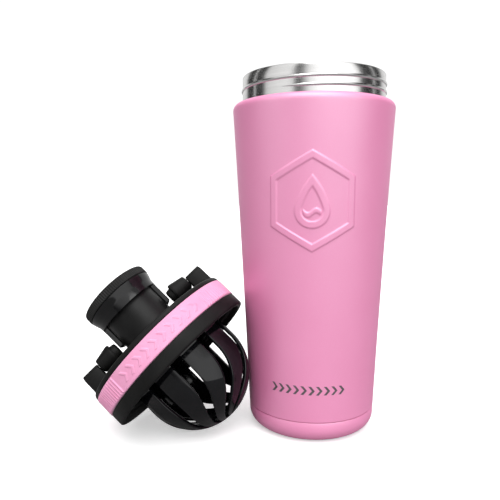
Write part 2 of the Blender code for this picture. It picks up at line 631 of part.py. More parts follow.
def make_agitator(frame):
    """The slotted mixing cage that twists into the lid's bayonet socket."""
    axis = bpy.data.objects.new("agitator_axis", None)
    PARTS.objects.link(axis)
    axis.parent = frame
    inner = CAGE_RADIUS - CAGE_WALL
    collar_inner = CAGE_COLLAR_RADIUS - CAGE_WALL
    outside = [(CAGE_COLLAR_RADIUS, CAGE_TOP), (CAGE_COLLAR_RADIUS, CAGE_SHOULDER)]
    outside += arc(0, CAGE_CENTRE, CAGE_RADIUS, 0, -90, 9)
    inside = arc(0, CAGE_CENTRE, inner, -90, 0, 8)
    inside += [(collar_inner, CAGE_SHOULDER), (collar_inner, CAGE_TOP)]
    cage = turned("agitator_cage", outside + inside, CAGE_BLACK, axis, segments=60)
    step = 2 * math.pi / CAGE_SLOTS
    directions = [CAGE_FIRST_SLOT + step * index for index in range(CAGE_SLOTS)]
    levels = [(CAGE_SLOT_TOP, 0.0)]
    for degrees in range(75, 5, -10):
        polar = math.radians(degrees)
        share = min(1.0, (CAGE_SWIRL_START - polar) / (CAGE_SWIRL_START - CAGE_SWIRL_END))
        swirl = -CAGE_SWIRL * share**CAGE_SWIRL_BEND
        levels.append((CAGE_CENTRE - CAGE_RADIUS * math.cos(polar), swirl))
    levels.append((-60 * MM, levels[-1][1]))
    slots = sector_mesh(
        "cage_slots", CAGE_POLE_RADIUS, 40 * MM, levels, CAGE_SLOT_ANGLE / 2, directions, 1
    )
    add_boolean(cage, add_cutter("cage_slots", slots, axis), "DIFFERENCE")
    step = 2 * math.pi / BAYONET_COUNT
    directions = [BAYONET_FIRST + step * index for index in range(BAYONET_COUNT)]
    levels = [(BAYONET_LOW, 0.0), (BAYONET_HIGH, 0.0)]
    tabs = sector_mesh(
        "bayonet_tabs", BAYONET_INNER, BAYONET_OUTER, levels, BAYONET_ANGLE / 2, directions
    )
    add_boolean(cage, add_cutter("bayonet_tabs", tabs, axis), "UNION")


empty_scene()
PARTS = new_collection("protein_shaker_bottle")
CUTTERS = new_collection("cutters")

PINK_COAT = material("pink_powder_coat", (0.85, 0.36, 0.60), 0.45)
BRUSHED_STEEL = material("brushed_steel", (0.62, 0.61, 0.60), 0.28, 1.0)
SOLDER = material("seal_solder", (0.45, 0.45, 0.46), 0.4, 1.0)
GETTER_METAL = material("getter_metal", (0.25, 0.25, 0.27), 0.6, 1.0)
MATTE_BLACK = material("matte_black", (0.018, 0.018, 0.018), 0.55)
SATIN_BLACK = material("satin_black", (0.022, 0.022, 0.022), 0.45)
GLOSS_BLACK = material("gloss_black", (0.010, 0.010, 0.011), 0.2)
GREY_BLACK = material("grip_black", (0.03, 0.03, 0.03), 0.6)
CAGE_BLACK = material("cage_black", (0.012, 0.012, 0.014), 0.12)
PINK_SILICONE = material("pink_silicone", (0.87, 0.38, 0.60), 0.5)
CLEAR_SILICONE = material("clear_silicone", (0.60, 0.60, 0.58), 0.45)

make_outer_shell()
make_inner_vessel()
make_base_cup()
make_vacuum_base()
make_vacuum_trim()

LID_FRAME = make_lid_frame()
make_lid_shell(LID_FRAME)
make_lid_band(LID_FRAME)
make_lid_gasket(LID_FRAME)
make_hinge_pins(LID_FRAME)
make_spout_post(LID_FRAME)
make_pop_cap(LID_FRAME)
make_cap_grip_ring(LID_FRAME)
make_handle(LID_FRAME)
make_agitator(LID_FRAME)
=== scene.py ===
"""Protein shaker bottle: a powder-coated steel tumbler, its pop-top lid leaning beside it.

Lengths in the constants are millimetres; the meshes are built in metres. The bottle's pieces
are made about the Z axis, and the lid's pieces about the lid's own axis and then placed.
"""
import math

import bmesh
import bpy
import numpy as np
from mathutils import Matrix, Vector


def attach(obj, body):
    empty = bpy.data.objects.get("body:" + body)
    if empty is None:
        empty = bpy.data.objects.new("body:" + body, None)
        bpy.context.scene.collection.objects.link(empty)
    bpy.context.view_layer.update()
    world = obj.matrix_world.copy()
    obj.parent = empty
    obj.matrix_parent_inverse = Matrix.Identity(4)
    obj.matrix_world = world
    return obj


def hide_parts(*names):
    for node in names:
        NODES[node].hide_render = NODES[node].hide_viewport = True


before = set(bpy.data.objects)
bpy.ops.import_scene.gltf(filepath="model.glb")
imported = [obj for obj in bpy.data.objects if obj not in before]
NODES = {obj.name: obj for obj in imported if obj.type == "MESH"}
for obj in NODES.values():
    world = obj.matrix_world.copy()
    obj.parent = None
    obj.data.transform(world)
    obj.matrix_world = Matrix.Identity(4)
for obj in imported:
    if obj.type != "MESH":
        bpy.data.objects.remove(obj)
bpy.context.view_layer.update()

MM = 0.001
TURN = 2 * math.pi
CLEARANCE = 0.3

# Bottle
RIM_Z = 199.2
SHELL_TOP_Z = 184.6
SHOULDER_RADIUS = 3.8
SHELL_TOP_RADIUS = 45.5
SEAM_Z = 12.46
SEAM_RADIUS = 36.55
WALL_HOLLOW = 1.437
NECK_RADIUS = 40.07
WALL = 1.0
VACUUM_GAP = 3.0
BASE_FILLET = 8.0
LINER_FLOOR_Z = 13.0
LINER_FILLET = 8.0
FOOT_RADIUS = 20.0
FOOT_RECESS = 0.55
THREAD_PITCH = 4.4
THREAD_RIDGE = 0.8
THREAD_FRONT_DEPTH = 10.8
THREAD_START = math.radians(-120)
THREAD_END = math.radians(400)

# Raised emblem: a droplet in a hexagon, on the front of the shell
EMBLEM_ANGLE = math.radians(-90.0)
EMBLEM_Z = 130.5
EMBLEM_RADIUS = 25.5
EMBLEM_STROKE = 3.4
EMBLEM_RELIEF = 0.55
EMBLEM_EDGE = 0.55
EMBLEM_REACH = 30.0
DROPLET_WIDTH = 18.0
DROPLET_HEIGHT = 27.0
WAVE_Y = -5.6
WAVE_SWING = 1.2
WAVE_RATE = 0.75
WAVE_HALF = 1.25
WAVE_MARGIN = 0.9

# The shell's mesh is finer around the emblem
FINE_STEP = 0.4
FINE_RADIUS = 43.0
FINE_HALF_HEIGHT = 27.5
FINE_HALF_ANGLE = math.radians(33)

# Etched row under the emblem
ETCH_Z = 30.4
ETCH_HEIGHT = 4.8
ETCH_LEFT = -21.8
ETCH_RIGHT = 18.8
ETCH_STROKE = 1.5
ETCH_LIFT = 0.05
CHEVRONS = 10

# Lid
LID_ORIGIN = Vector((-78.1, -17.7, 42.2)) * MM
LID_LEAN = math.radians(48.7)
LID_NOD = math.radians(7.9)
LID_TURN = math.radians(22.5)
SKIRT_RADIUS = 47.7
BAND_RADIUS = 48.0
BAND_SEAT_RADIUS = 44.9
BAND_HEIGHT = 11.1
BAND_FRONT = math.radians(-90)
BAND_RIB_SPANS = ((36.0, 69.0), (-72.0, -39.0))
BAND_RIBS = 13
BAND_RIB_RELIEF = 0.60
BAND_ROW_LEFT = -28.0
BAND_ROW_RIGHT = 26.5
BAND_ROW_HEIGHT = 5.4
BAND_ROW_STROKE = 1.3
BAND_ROW_RELIEF = 0.30
BAND_ROW_REACH = 30.0
SKIRT_BOTTOM = -7.67
DECK_TOP = 14.1
DECK_THICKNESS = 4.5
DECK_STEP = 0.5
DECK_RIM_RADIUS = 43.2
SPOUT_PAD_RADIUS = 17.6
MOUTH_RADIUS = 44.6
MOUTH_TOP = -4.5
LID_THREAD_RADIUS = 41.9
LID_THREAD_RIDGE = 0.6
LID_THREAD_MIDDLE = 2.8
SPOUT_HOLE_RADIUS = 14.0
BAYONET_SOCKET_RADIUS = 34.6
BAYONET_SOCKET_WALL = 2.0
BAYONET_SOCKET_BOTTOM = 0.6
HINGE_HEIGHT = 25.5
HINGE_PIN_RADIUS = 1.3
LUG_INNER = 35.3
LUG_OUTER = 45.9
LUG_HALF_DEPTH = 4.0
LUG_TOP = 28.2
LUG_EASE = 0.7
LUG_FACE_INSET = 3.9
ARM_INNER = 24.0
ARM_OUTER = 34.8
EYE_RADIUS = 6.5
EYE_OUTER_RADIUS = 4.4
EYE_HUB_RADIUS = 4.8
EYE_HUB_INNER = 20.6
HANDLE_REACH = 41.8
HANDLE_CLEAR_REACH = 35.2
HANDLE_CLEAR_HALF = 24.6
HANDLE_CORNER = 24.0
HANDLE_INNER_CORNER = 13.0
HANDLE_THICKNESS = 6.0
HANDLE_EASE = 1.6
HANDLE_OVERLAP = 1.0
HANDLE_DROOP = math.radians(11.5)
POST_RADIUS = 16.8
POST_BORE = 14.4
POST_TOP = 46.6
POST_GROOVE_DROP = 4.5
POST_GROOVE_HALF = 0.9
POST_GROOVE_DEPTH = 1.4
SPIGOT_WALL = 1.8
PLUG_RADIUS = 3.2
PLUG_TOP = 49.2
PLUG_DEPTH = 8.0
WEB_COUNT = 3
WEB_FIRST = math.radians(30)
WEB_HALF = 0.8
WEB_HEIGHT = 3.0
CAP_SLEEVE_RADIUS = 19.9
CAP_SLEEVE_BORE = 17.2
CAP_SLEEVE_BOTTOM = 25.5
CAP_WINDOW_TOP = 38.9
CAP_WINDOW_FRONT = -0.5
CAP_WINDOW_TILT = math.radians(6.5)
CAP_FLARE_RADIUS = 21.3
CAP_FLARE_TOP = 44.9
CAP_WAIST_RADIUS = 20.2
CAP_WAIST_TOP = 41.6
CAP_WAIST_BOTTOM = 37.5
CAP_PLATE = 1.8
CAP_PLATE_DROP = 0.4
CAP_RIM_STEP = 1.3
CAP_RIM_BOTTOM = 46.2
CAP_TOP = 51.7
GRIP_RADIUS = 21.9
GRIP_RIBS = 96
GRIP_DEPTH = 0.38
DRINK_HOLE_RADIUS = 5.6
CAGE_RADIUS = 31.6
CAGE_COLLAR_RADIUS = 32.3
CAGE_CENTRE = -15.6
CAGE_WALL = 2.0
CAGE_TOP = 8.9
CAGE_SLOTS = 10
CAGE_SLOT_ANGLE = math.radians(12.4)
CAGE_FIRST_SLOT = math.radians(-95.0)
CAGE_SLOT_TOP = -3.0
CAGE_EASE = 0.45
CAGE_POLE_RADIUS = 4.5
CAGE_SWIRL_START = math.radians(90)
CAGE_SWIRL_END = math.radians(8)
CAGE_SWIRL = math.radians(77)
CAGE_SWIRL_BEND = 2.6
BAYONET_COUNT = 3
BAYONET_FIRST = math.radians(3)
BAYONET_HALF_ANGLE = math.radians(15)
BAYONET_INNER = 31.5
BAYONET_OUTER = 34.2
BAYONET_LOW = 2.8
BAYONET_HIGH = 4.8

LID_PLACE = (
    Matrix.Translation(LID_ORIGIN)
    @ Matrix.Rotation(-LID_LEAN, 4, "Y")
    @ Matrix.Rotation(-LID_NOD, 4, "X")
    @ Matrix.Rotation(LID_TURN, 4, "Z")
)
HINGE_PLACE = LID_PLACE @ Matrix.Translation((0, 0, HINGE_HEIGHT * MM))
HANDLE_PLACE = HINGE_PLACE @ Matrix.Rotation(-HANDLE_DROOP, 4, "X")


# ---------------------------------------------------------------- materials


class Finish:
    """A material under construction: a Principled shader and short names for its nodes."""

    def __init__(self, name, roughness, metallic=0.0):
        self.material = bpy.data.materials.new(name)
        self.material.use_nodes = True
        self.tree = self.material.node_tree
        self.shader = self.tree.nodes["Principled BSDF"]
        self.shader.inputs["Roughness"].default_value = roughness
        self.shader.inputs["Metallic"].default_value = metallic
        self.place = self.tree.nodes.new("ShaderNodeTexCoord").outputs["Object"]
        self.height = None

    def node(self, kind, **values):
        made = self.tree.nodes.new(kind)
        for key, value in values.items():
            setattr(made, key, value)
        return made

    def link(self, source, target):
        self.tree.links.new(source, target)

    def mapped(self, scale):
        mapping = self.node("ShaderNodeMapping")
        mapping.inputs["Scale"].default_value = scale
        self.link(self.place, mapping.inputs["Vector"])
        return mapping.outputs["Vector"]

    def noise(self, size, detail=3.0, stretch=(1, 1, 1)):
        """Noise whose features are about size millimetres across."""
        texture = self.node("ShaderNodeTexNoise")
        texture.inputs["Scale"].default_value = 1.0
        texture.inputs["Detail"].default_value = detail
        scale = [share / (size * MM) for share in stretch]
        self.link(self.mapped(scale), texture.inputs["Vector"])
        return texture.outputs["Fac"]

    def remap(self, value, low, high, start=0.3, end=0.7):
        """Value's stretch from start to end, remapped to run from low to high."""
        node = self.node("ShaderNodeMapRange")
        ends = {"From Min": start, "From Max": end, "To Min": low, "To Max": high}
        for socket, number in ends.items():
            node.inputs[socket].default_value = number
        self.link(value, node.inputs["Value"])
        return node.outputs["Result"]

    def mix(self, fac, first, second):
        node = self.node("ShaderNodeMix", data_type="RGBA")
        for socket, colour in ((node.inputs[6], first), (node.inputs[7], second)):
            if isinstance(colour, tuple):
                socket.default_value = (*colour, 1.0)
            else:
                self.link(colour, socket)
        self.link(fac, node.inputs[0])
        return node.outputs[2]

    def colour(self, source):
        self.link(source, self.shader.inputs["Base Color"])

    def roughness(self, source):
        self.link(source, self.shader.inputs["Roughness"])

    def bump(self, source, depth, strength=1.0):
        """Adds a bump layer, depth in millimetres."""
        node = self.node("ShaderNodeBump")
        node.inputs["Distance"].default_value = depth * MM
        node.inputs["Strength"].default_value = strength
        self.link(source, node.inputs["Height"])
        if self.height:
            self.link(self.height, node.inputs["Normal"])
        self.height = node.outputs["Normal"]
        self.link(self.height, self.shader.inputs["Normal"])

    def set(self, **values):
        for name, value in values.items():
            self.shader.inputs[name.replace("_", " ")].default_value = value
        return self


def pink_coat():
    """Powder coat: fine orange peel, faint paler flecks, a soft wide gloss."""
    finish = Finish("pink_powder_coat", 0.46)
    cloud = finish.remap(finish.noise(26, 4), 0.0, 1.0)
    grain = finish.remap(finish.noise(0.5, 2), 0.0, 1.0)
    tone = finish.mix(cloud, (0.900, 0.225, 0.478), (0.930, 0.248, 0.508))
    fleck = finish.mix(finish.remap(grain, 0.0, 0.16, 0.55, 1.0), tone, (0.93, 0.42, 0.62))
    finish.colour(fleck)
    finish.roughness(finish.remap(finish.noise(0.7, 3), 0.44, 0.54))
    finish.bump(finish.noise(0.55, 2), 0.030, 0.55)
    finish.bump(finish.noise(2.4, 2), 0.045, 0.35)
    finish.set(Specular_IOR_Level=1.0, IOR=2.15, Specular_Tint=(0.95, 0.93, 1.0, 1.0))
    return finish.material


def steel(name, tone, rough_low, rough_high, streak=0.05):
    """Turned steel: fine scratches that run round the Z axis."""
    finish = Finish(name, 0.2, 1.0)
    turned_lines = finish.noise(0.11, 3, (0.004, 0.004, 1.0))
    broad_lines = finish.noise(1.3, 3, (0.02, 0.02, 1.0))
    smear = finish.remap(finish.noise(16, 4), 0.0, 1.0)
    darker = tuple(share * 0.86 for share in tone)
    lines = finish.mix(finish.remap(turned_lines, 0.0, 1.0), darker, tone)
    finish.colour(finish.mix(finish.remap(broad_lines, 0.0, 0.35), lines, (0.72, 0.71, 0.70)))
    rough = finish.node("ShaderNodeMath", operation="ADD")
    finish.link(finish.remap(turned_lines, rough_low, rough_high), rough.inputs[0])
    finish.link(finish.remap(smear, 0.0, streak, 0.0, 1.0), rough.inputs[1])
    finish.roughness(rough.outputs["Value"])
    finish.bump(turned_lines, 0.004, 0.5)
    tangent = finish.node("ShaderNodeTangent", direction_type="RADIAL", axis="Z")
    finish.link(tangent.outputs["Tangent"], finish.shader.inputs["Tangent"])
    finish.set(Anisotropic=0.65)
    return finish.material


def moulded(name, tone, rough_low, rough_high, grain, depth, specular):
    """Injection-moulded plastic: fine spark texture, faint flow marks and rubbed patches."""
    finish = Finish(name, (rough_low + rough_high) / 2)
    flow = finish.remap(finish.noise(9, 4, (1, 1, 0.35)), 0.0, 1.0)
    lighter = tuple(share * 1.35 + 0.002 for share in tone)
    dusty = tuple(share * 2.2 + 0.012 for share in tone)
    dust = finish.remap(finish.noise(0.6, 4), 0.0, 0.35, 0.62, 0.85)
    finish.colour(finish.mix(dust, finish.mix(flow, tone, lighter), dusty))
    finish.roughness(finish.remap(finish.noise(13, 5), rough_low, rough_high))
    finish.bump(finish.noise(grain, 3), depth, 0.7)
    finish.set(Specular_IOR_Level=specular)
    return finish.material


def glossy(name, tone, rough_low, rough_high):
    """Polished plastic: deep colour, faint swirls and hairline scratches, a slight moulded wave."""
    finish = Finish(name, rough_low)
    wave = finish.noise(11, 2)
    hair = finish.noise(1.0, 4, (0.09, 1.6, 0.5))
    haze = finish.remap(finish.noise(7, 5), 0.0, 1.0)
    finish.colour(finish.mix(haze, tone, tuple(share * 1.8 for share in tone)))
    finish.roughness(finish.remap(hair, rough_low, rough_high, 0.45, 0.8))
    finish.bump(wave, 0.05, 0.35)
    finish.bump(hair, 0.006, 0.3)
    finish.set(Specular_IOR_Level=0.34)
    return finish.material


def silicone(name, tone, light, rough):
    """Soft-touch silicone: velvety, slightly clouded, with fine matte skin and specks of dust."""
    finish = Finish(name, rough)
    cloud = finish.remap(finish.noise(7, 4), 0.0, 1.0)
    base = finish.mix(cloud, tone, light)
    dust = finish.remap(finish.noise(0.45, 3), 0.0, 0.4, 0.66, 0.85)
    finish.colour(finish.mix(dust, base, (0.93, 0.66, 0.78)))
    finish.roughness(finish.remap(finish.noise(0.8, 3), rough - 0.06, rough + 0.08))
    finish.bump(finish.noise(0.28, 3), 0.018, 0.6)
    finish.set(Sheen_Weight=0.25, Sheen_Roughness=0.4, Specular_IOR_Level=0.4)
    return finish.material


def clear_rubber():
    """Translucent silicone, slightly clouded."""
    finish = Finish("clear_silicone", 0.4)
    cloud = finish.remap(finish.noise(5, 4), 0.0, 1.0)
    finish.colour(finish.mix(cloud, (0.55, 0.55, 0.53), (0.68, 0.67, 0.64)))
    finish.roughness(finish.remap(finish.noise(1.2, 3), 0.34, 0.5))
    finish.bump(finish.noise(0.5, 3), 0.012, 0.5)
    finish.set(Subsurface_Weight=0.2, Subsurface_Scale=0.002)
    return finish.material


def dull_metal(name, tone, rough):
    """Cast or etched metal with a mottled surface."""
    finish = Finish(name, rough, 1.0)
    cloud = finish.remap(finish.noise(1.6, 5), 0.0, 1.0)
    finish.colour(finish.mix(cloud, tone, tuple(share * 1.4 for share in tone)))
    finish.roughness(finish.remap(finish.noise(0.7, 4), rough - 0.1, rough + 0.12))
    finish.bump(finish.noise(0.4, 4), 0.03, 0.7)
    return finish.material


PINK_COAT = pink_coat()
NECK_STEEL = steel("neck_steel", (0.66, 0.655, 0.65), 0.10, 0.18)
LINER_STEEL = steel("liner_steel", (0.78, 0.775, 0.77), 0.34, 0.46)
ETCHED_STEEL = dull_metal("etched_steel", (0.20, 0.18, 0.19), 0.42)
SOLDER = dull_metal("seal_solder", (0.40, 0.40, 0.41), 0.40)
GETTER = dull_metal("getter_metal", (0.20, 0.20, 0.22), 0.60)
MATTE_BLACK = moulded("matte_black", (0.0050, 0.0050, 0.0048), 0.44, 0.58, 0.34, 0.030, 0.16)
SATIN_BLACK = moulded("satin_black", (0.0045, 0.0045, 0.0045), 0.34, 0.46, 0.26, 0.020, 0.20)
GRIP_BLACK = moulded("grip_black", (0.0095, 0.0095, 0.0093), 0.46, 0.60, 0.30, 0.030, 0.22)
GLOSS_BLACK = glossy("gloss_black", (0.0022, 0.0022, 0.0026), 0.10, 0.24)
CAGE_BLACK = glossy("cage_black", (0.0020, 0.0021, 0.0028), 0.06, 0.18)
PINK_SILICONE = silicone("pink_silicone", (0.86, 0.350, 0.56), (0.88, 0.385, 0.60), 0.55)
CLEAR_SILICONE = clear_rubber()


# ---------------------------------------------------------------- mesh helpers


def smoothstep(low, high, value):
    """0 below low, 1 above high and a smooth rise between them."""
    share = np.clip((value - low) / (high - low), 0.0, 1.0)
    return share * share * (3 - 2 * share)


def arc(centre_r, centre_z, radius, start, end, steps):
    """Points of a profile's round stretch, with angles in degrees from the outward direction."""
    angles = np.radians(np.linspace(start, end, steps + 1))
    return [(centre_r + radius * math.cos(a), centre_z + radius * math.sin(a)) for a in angles]


def eased(corners, closed=True, steps=4):
    """A profile with each corner (r, z, ease) cut back by ease and replaced by a smooth bend."""
    points = []
    count = len(corners)
    for index, (r, z, ease) in enumerate(corners):
        corner = np.array((r, z), float)
        inside = closed or 0 < index < count - 1
        if ease <= 0 or not inside:
            points.append((r, z))
            continue
        before = np.array(corners[index - 1][:2], float) - corner
        after = np.array(corners[(index + 1) % count][:2], float) - corner
        start = corner + before / np.linalg.norm(before) * ease
        end = corner + after / np.linalg.norm(after) * ease
        for share in np.linspace(0, 1, steps + 1):
            bend = (1 - share) ** 2 * start + 2 * share * (1 - share) * corner + share**2 * end
            points.append((float(bend[0]), float(bend[1])))
    return points


def grid_faces(rows, columns, wrap_rows, wrap_columns):
    """Quads between neighbouring points of a grid that is numbered row by row."""
    row = np.arange(rows if wrap_rows else rows - 1)
    column = np.arange(columns if wrap_columns else columns - 1)
    row, column = np.meshgrid(row, column, indexing="ij")
    below = (row + 1) % rows
    beside = (column + 1) % columns
    quads = (row * columns + column, below * columns + column)
    quads += (below * columns + beside, row * columns + beside)
    return np.stack(quads, -1).reshape(-1, 4).tolist()


class Shape:
    """Collects patches of points in millimetres and turns them into one mesh."""

    def __init__(self):
        self.points = []
        self.faces = []
        self.slots = []
        self.count = 0

    def patch(self, points, faces, slot=0):
        """Adds points and the faces between them."""
        points = np.asarray(points, float).reshape(-1, 3)
        self.points.append(points)
        self.faces += [[index + self.count for index in face] for face in faces]
        self.slots += [slot] * len(faces)
        self.count += len(points)

    def grid(self, points, wrap_rows=False, wrap_columns=False, slot=0):
        rows, columns = points.shape[:2]
        self.patch(points, grid_faces(rows, columns, wrap_rows, wrap_columns), slot)

    def turned(self, profile, segments=144, closed=True, relief=None, angles=None, slot=0):
        """A profile of (radius, height) turned about Z, its radius moved by relief(angle, z)."""
        if angles is None:
            angles = np.linspace(0, TURN, segments, endpoint=False)
        profile = np.array(profile, float)
        radius = np.repeat(profile[:, :1], len(angles), 1)
        height = np.repeat(profile[:, 1:], len(angles), 1)
        turn = np.repeat(angles[None, :], len(profile), 0)
        if relief is not None:
            radius = radius + relief(turn, height, radius)
        points = np.stack((radius * np.cos(turn), radius * np.sin(turn), height), -1)
        self.grid(points, closed, True, slot)

    def object(self, name, materials, place=None, sharp=38.0, weld=0.0004):
        """The finished object, its mesh put in place, smooth but for edges sharper than sharp."""
        mesh = bpy.data.meshes.new(name)
        mesh.from_pydata((np.concatenate(self.points) * MM).tolist(), [], self.faces)
        if place is not None:
            mesh.transform(place)
        for material in materials:
            mesh.materials.append(material)
        for polygon, slot in zip(mesh.polygons, self.slots):
            polygon.material_index = slot
        bm = bmesh.new()
        bm.from_mesh(mesh)
        bmesh.ops.remove_doubles(bm, verts=bm.verts, dist=weld * MM)
        bmesh.ops.dissolve_degenerate(bm, edges=bm.edges, dist=weld * MM)
        bmesh.ops.recalc_face_normals(bm, faces=bm.faces)
        bm.to_mesh(mesh)
        bm.free()
        mesh.shade_smooth()
        mesh.set_sharp_from_angle(angle=math.radians(sharp))
        made = bpy.data.objects.new(name, mesh)
        bpy.context.scene.collection.objects.link(made)
        return made


def finish_piece(piece, body, slot, *nodes):
    """Attaches a piece to the body it rides on and hides the CAD nodes it stands for; slot is not
    used.
    """
    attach(piece, body)
    if nodes:
        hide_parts(*nodes)


def helix(shape, radius, ridge, height_at, sides=8, steps=420):
    """A round ridge wound on a cylinder, running out at both ends."""
    share = np.linspace(0, 1, steps)
    turn = THREAD_START + (THREAD_END - THREAD_START) * share
    swell = ridge * smoothstep(0, 0.05, share) * smoothstep(0, 0.05, 1 - share)
    ring = np.linspace(0, TURN, sides, endpoint=False)
    out = radius - 0.15 * ridge + np.outer(swell, np.cos(ring))
    height = height_at(turn)[:, None] + np.outer(swell, np.sin(ring)) * 1.15
    turn = np.repeat(turn[:, None], sides, 1)
    shape.grid(np.stack((out * np.cos(turn), out * np.sin(turn), height), -1), False, True)


def box_patch(shape, low, high, ease, place=None):
    """A box with eased edges, added to a shape, with place(points) moving it."""
    bm = bmesh.new()
    bmesh.ops.create_cube(bm, size=1.0)
    size = [b - a for a, b in zip(low, high)]
    middle = [(a + b) / 2 for a, b in zip(low, high)]
    bmesh.ops.scale(bm, verts=bm.verts, vec=size)
    bmesh.ops.translate(bm, verts=bm.verts, vec=middle)
    bmesh.ops.bevel(bm, geom=bm.edges, offset=ease, segments=3, affect="EDGES", profile=0.5)
    bm.verts.index_update()
    points = np.array([vertex.co for vertex in bm.verts])
    if place is not None:
        points = place(points)
    shape.patch(points, [[vertex.index for vertex in face.verts] for face in bm.faces])
    bm.free()


# ---------------------------------------------------------------- bottle


def shell_radius(height):
    """The tapered wall's outer radius, slightly hollow between the seam and the shoulder."""
    share = (height - SEAM_Z) / (SHELL_TOP_Z - SHOULDER_RADIUS - SEAM_Z)
    straight = SEAM_RADIUS + (SHELL_TOP_RADIUS - SEAM_RADIUS) * share
    return straight - WALL_HOLLOW * share * (1 - share)


def polygon_distance(x, y, corners):
    """Signed distance to a closed polygon, negative inside."""
    corners = np.asarray(corners, float)
    nearest = np.full(np.shape(x), 1e9)
    inside = np.zeros(np.shape(x), bool)
    for (ax, ay), (bx, by) in zip(corners, np.roll(corners, -1, 0)):
        dx, dy = bx - ax, by - ay
        share = np.clip(((x - ax) * dx + (y - ay) * dy) / (dx * dx + dy * dy), 0, 1)
        nearest = np.minimum(nearest, np.hypot(x - ax - share * dx, y - ay - share * dy))
        crosses = (ay > y) != (by > y)
        with np.errstate(divide="ignore", invalid="ignore"):
            edge = ax + (y - ay) * dx / (dy if dy else 1e-12)
        inside ^= crosses & (x < edge)
    return np.where(inside, -nearest, nearest)


def hexagon(radius):
    """Corners of a hexagon that stands on a point."""
    turns = [math.pi / 2 + index * TURN / 6 for index in range(6)]
    return [(radius * math.cos(turn), radius * math.sin(turn)) for turn in turns]


def droplet(width, height):
    """Outline of a droplet with its point up and slightly swelling sides, centred."""
    radius = width / 2
    points = arc(0, radius - height / 2, radius, 155, 385, 39)
    start = np.array(points[-1])
    tip = np.array((0.0, height / 2))
    side = []
    for share in np.linspace(0, 1, 12)[1:]:
        x, y = start + (tip - start) * share
        swell = math.sin(math.pi * share)
        side.append((x + 0.66 * swell, y + 0.33 * swell))
    return points + side + [(-x, y) for x, y in reversed(side[:-1])]


def emblem_relief(turn, height, radius):
    """How far the hexagon, the droplet's outline and the wave in it stand off the shell."""
    across = (turn - EMBLEM_ANGLE) * radius
    up = height - EMBLEM_Z
    near = (np.abs(across) < EMBLEM_REACH) & (np.abs(up) < EMBLEM_REACH)
    distance = np.full(np.shape(turn), 99.0)
    x, y = across[near], up[near]
    ring = polygon_distance(x, y, hexagon(EMBLEM_RADIUS))
    stroke = np.abs(ring + EMBLEM_STROKE / 2) - EMBLEM_STROKE / 2
    drop = polygon_distance(x, y, droplet(DROPLET_WIDTH, DROPLET_HEIGHT))
    outline = np.abs(drop + EMBLEM_STROKE / 2) - EMBLEM_STROKE / 2
    wave = np.abs(y - WAVE_Y - WAVE_SWING * np.sin(x * WAVE_RATE)) - WAVE_HALF
    wave = np.maximum(wave, drop + EMBLEM_STROKE + WAVE_MARGIN)
    distance[near] = np.minimum(np.minimum(stroke, outline), wave)
    return EMBLEM_RELIEF * (1 - smoothstep(-EMBLEM_EDGE / 2, EMBLEM_EDGE / 2, distance))


def make_shell():
    """The coated jacket, with the raised emblem on its front."""
    shoulder_z = SHELL_TOP_Z - SHOULDER_RADIUS
    centre = SHELL_TOP_RADIUS - SHOULDER_RADIUS
    collar = NECK_RADIUS + CLEARANCE
    seam_edge = (SEAM_RADIUS - 0.25, SEAM_Z)
    collar_edge = (collar, SHELL_TOP_Z - 0.35)
    fine = np.arange(EMBLEM_Z - FINE_HALF_HEIGHT, EMBLEM_Z + FINE_HALF_HEIGHT, FINE_STEP)
    low = np.linspace(SEAM_Z + 0.1, fine[0], 26, endpoint=False)
    high = np.linspace(fine[-1] + 0.6, shoulder_z, 16, endpoint=False)
    outside = [collar_edge, (collar + 0.25, SHELL_TOP_Z - 0.1)]
    outside += arc(centre, shoulder_z, SHOULDER_RADIUS, 78, 0, 9)
    outside += [(shell_radius(z), z) for z in np.concatenate((low, fine, high))[::-1]]
    outside += [seam_edge]
    first, last = EMBLEM_ANGLE - FINE_HALF_ANGLE, EMBLEM_ANGLE + FINE_HALF_ANGLE
    front = np.arange(first, last, FINE_STEP / FINE_RADIUS)
    rest = np.linspace(front[-1], front[0] + TURN, 150)[1:-1]
    angles = np.concatenate((front, rest))
    shape = Shape()
    shape.turned(outside, closed=False, relief=emblem_relief, angles=angles)
    inside = [collar_edge, (collar, SHELL_TOP_Z - WALL)]
    inside += arc(centre, shoulder_z, SHOULDER_RADIUS - WALL, 75, 25, 3)
    levels = np.linspace(shoulder_z, SEAM_Z + CLEARANCE, 6)
    inside += [(shell_radius(z) - WALL, z) for z in levels]
    inside += [seam_edge]
    shape.turned(inside, closed=False, angles=angles)
    piece = shape.object("shell_coat", [PINK_COAT], sharp=50)
    finish_piece(piece, "bottle", "pink_coat", "outer_shell")


def make_base():
    """The coated bottom, with a faint seam above it and a shallow recess in its foot."""
    edge = shell_radius(BASE_FILLET)
    corner = edge - BASE_FILLET
    top = SEAM_Z - CLEARANCE
    lip = SEAM_RADIUS - 0.75
    outside = [(lip, top), (lip + 0.45, top - 0.12), (lip + 0.63, top - 0.5)]
    outside += arc(corner, BASE_FILLET, BASE_FILLET, 0, -88, 14)
    outside += [(FOOT_RADIUS, 0.0), (FOOT_RADIUS - 0.8, 0.35), (FOOT_RADIUS - 2.5, FOOT_RECESS)]
    outside += [(9.0, FOOT_RECESS), (0.0, FOOT_RECESS)]
    inside = [(0.0, WALL), (corner, WALL)]
    inside += arc(corner, BASE_FILLET, BASE_FILLET - WALL, -80, -5, 6)
    inside += [(lip - WALL * 0.4, top)]
    shape = Shape()
    shape.turned(outside + inside, 160)
    piece = shape.object("base_coat", [PINK_COAT])
    finish_piece(piece, "bottle", "pink_coat", "base_cup")


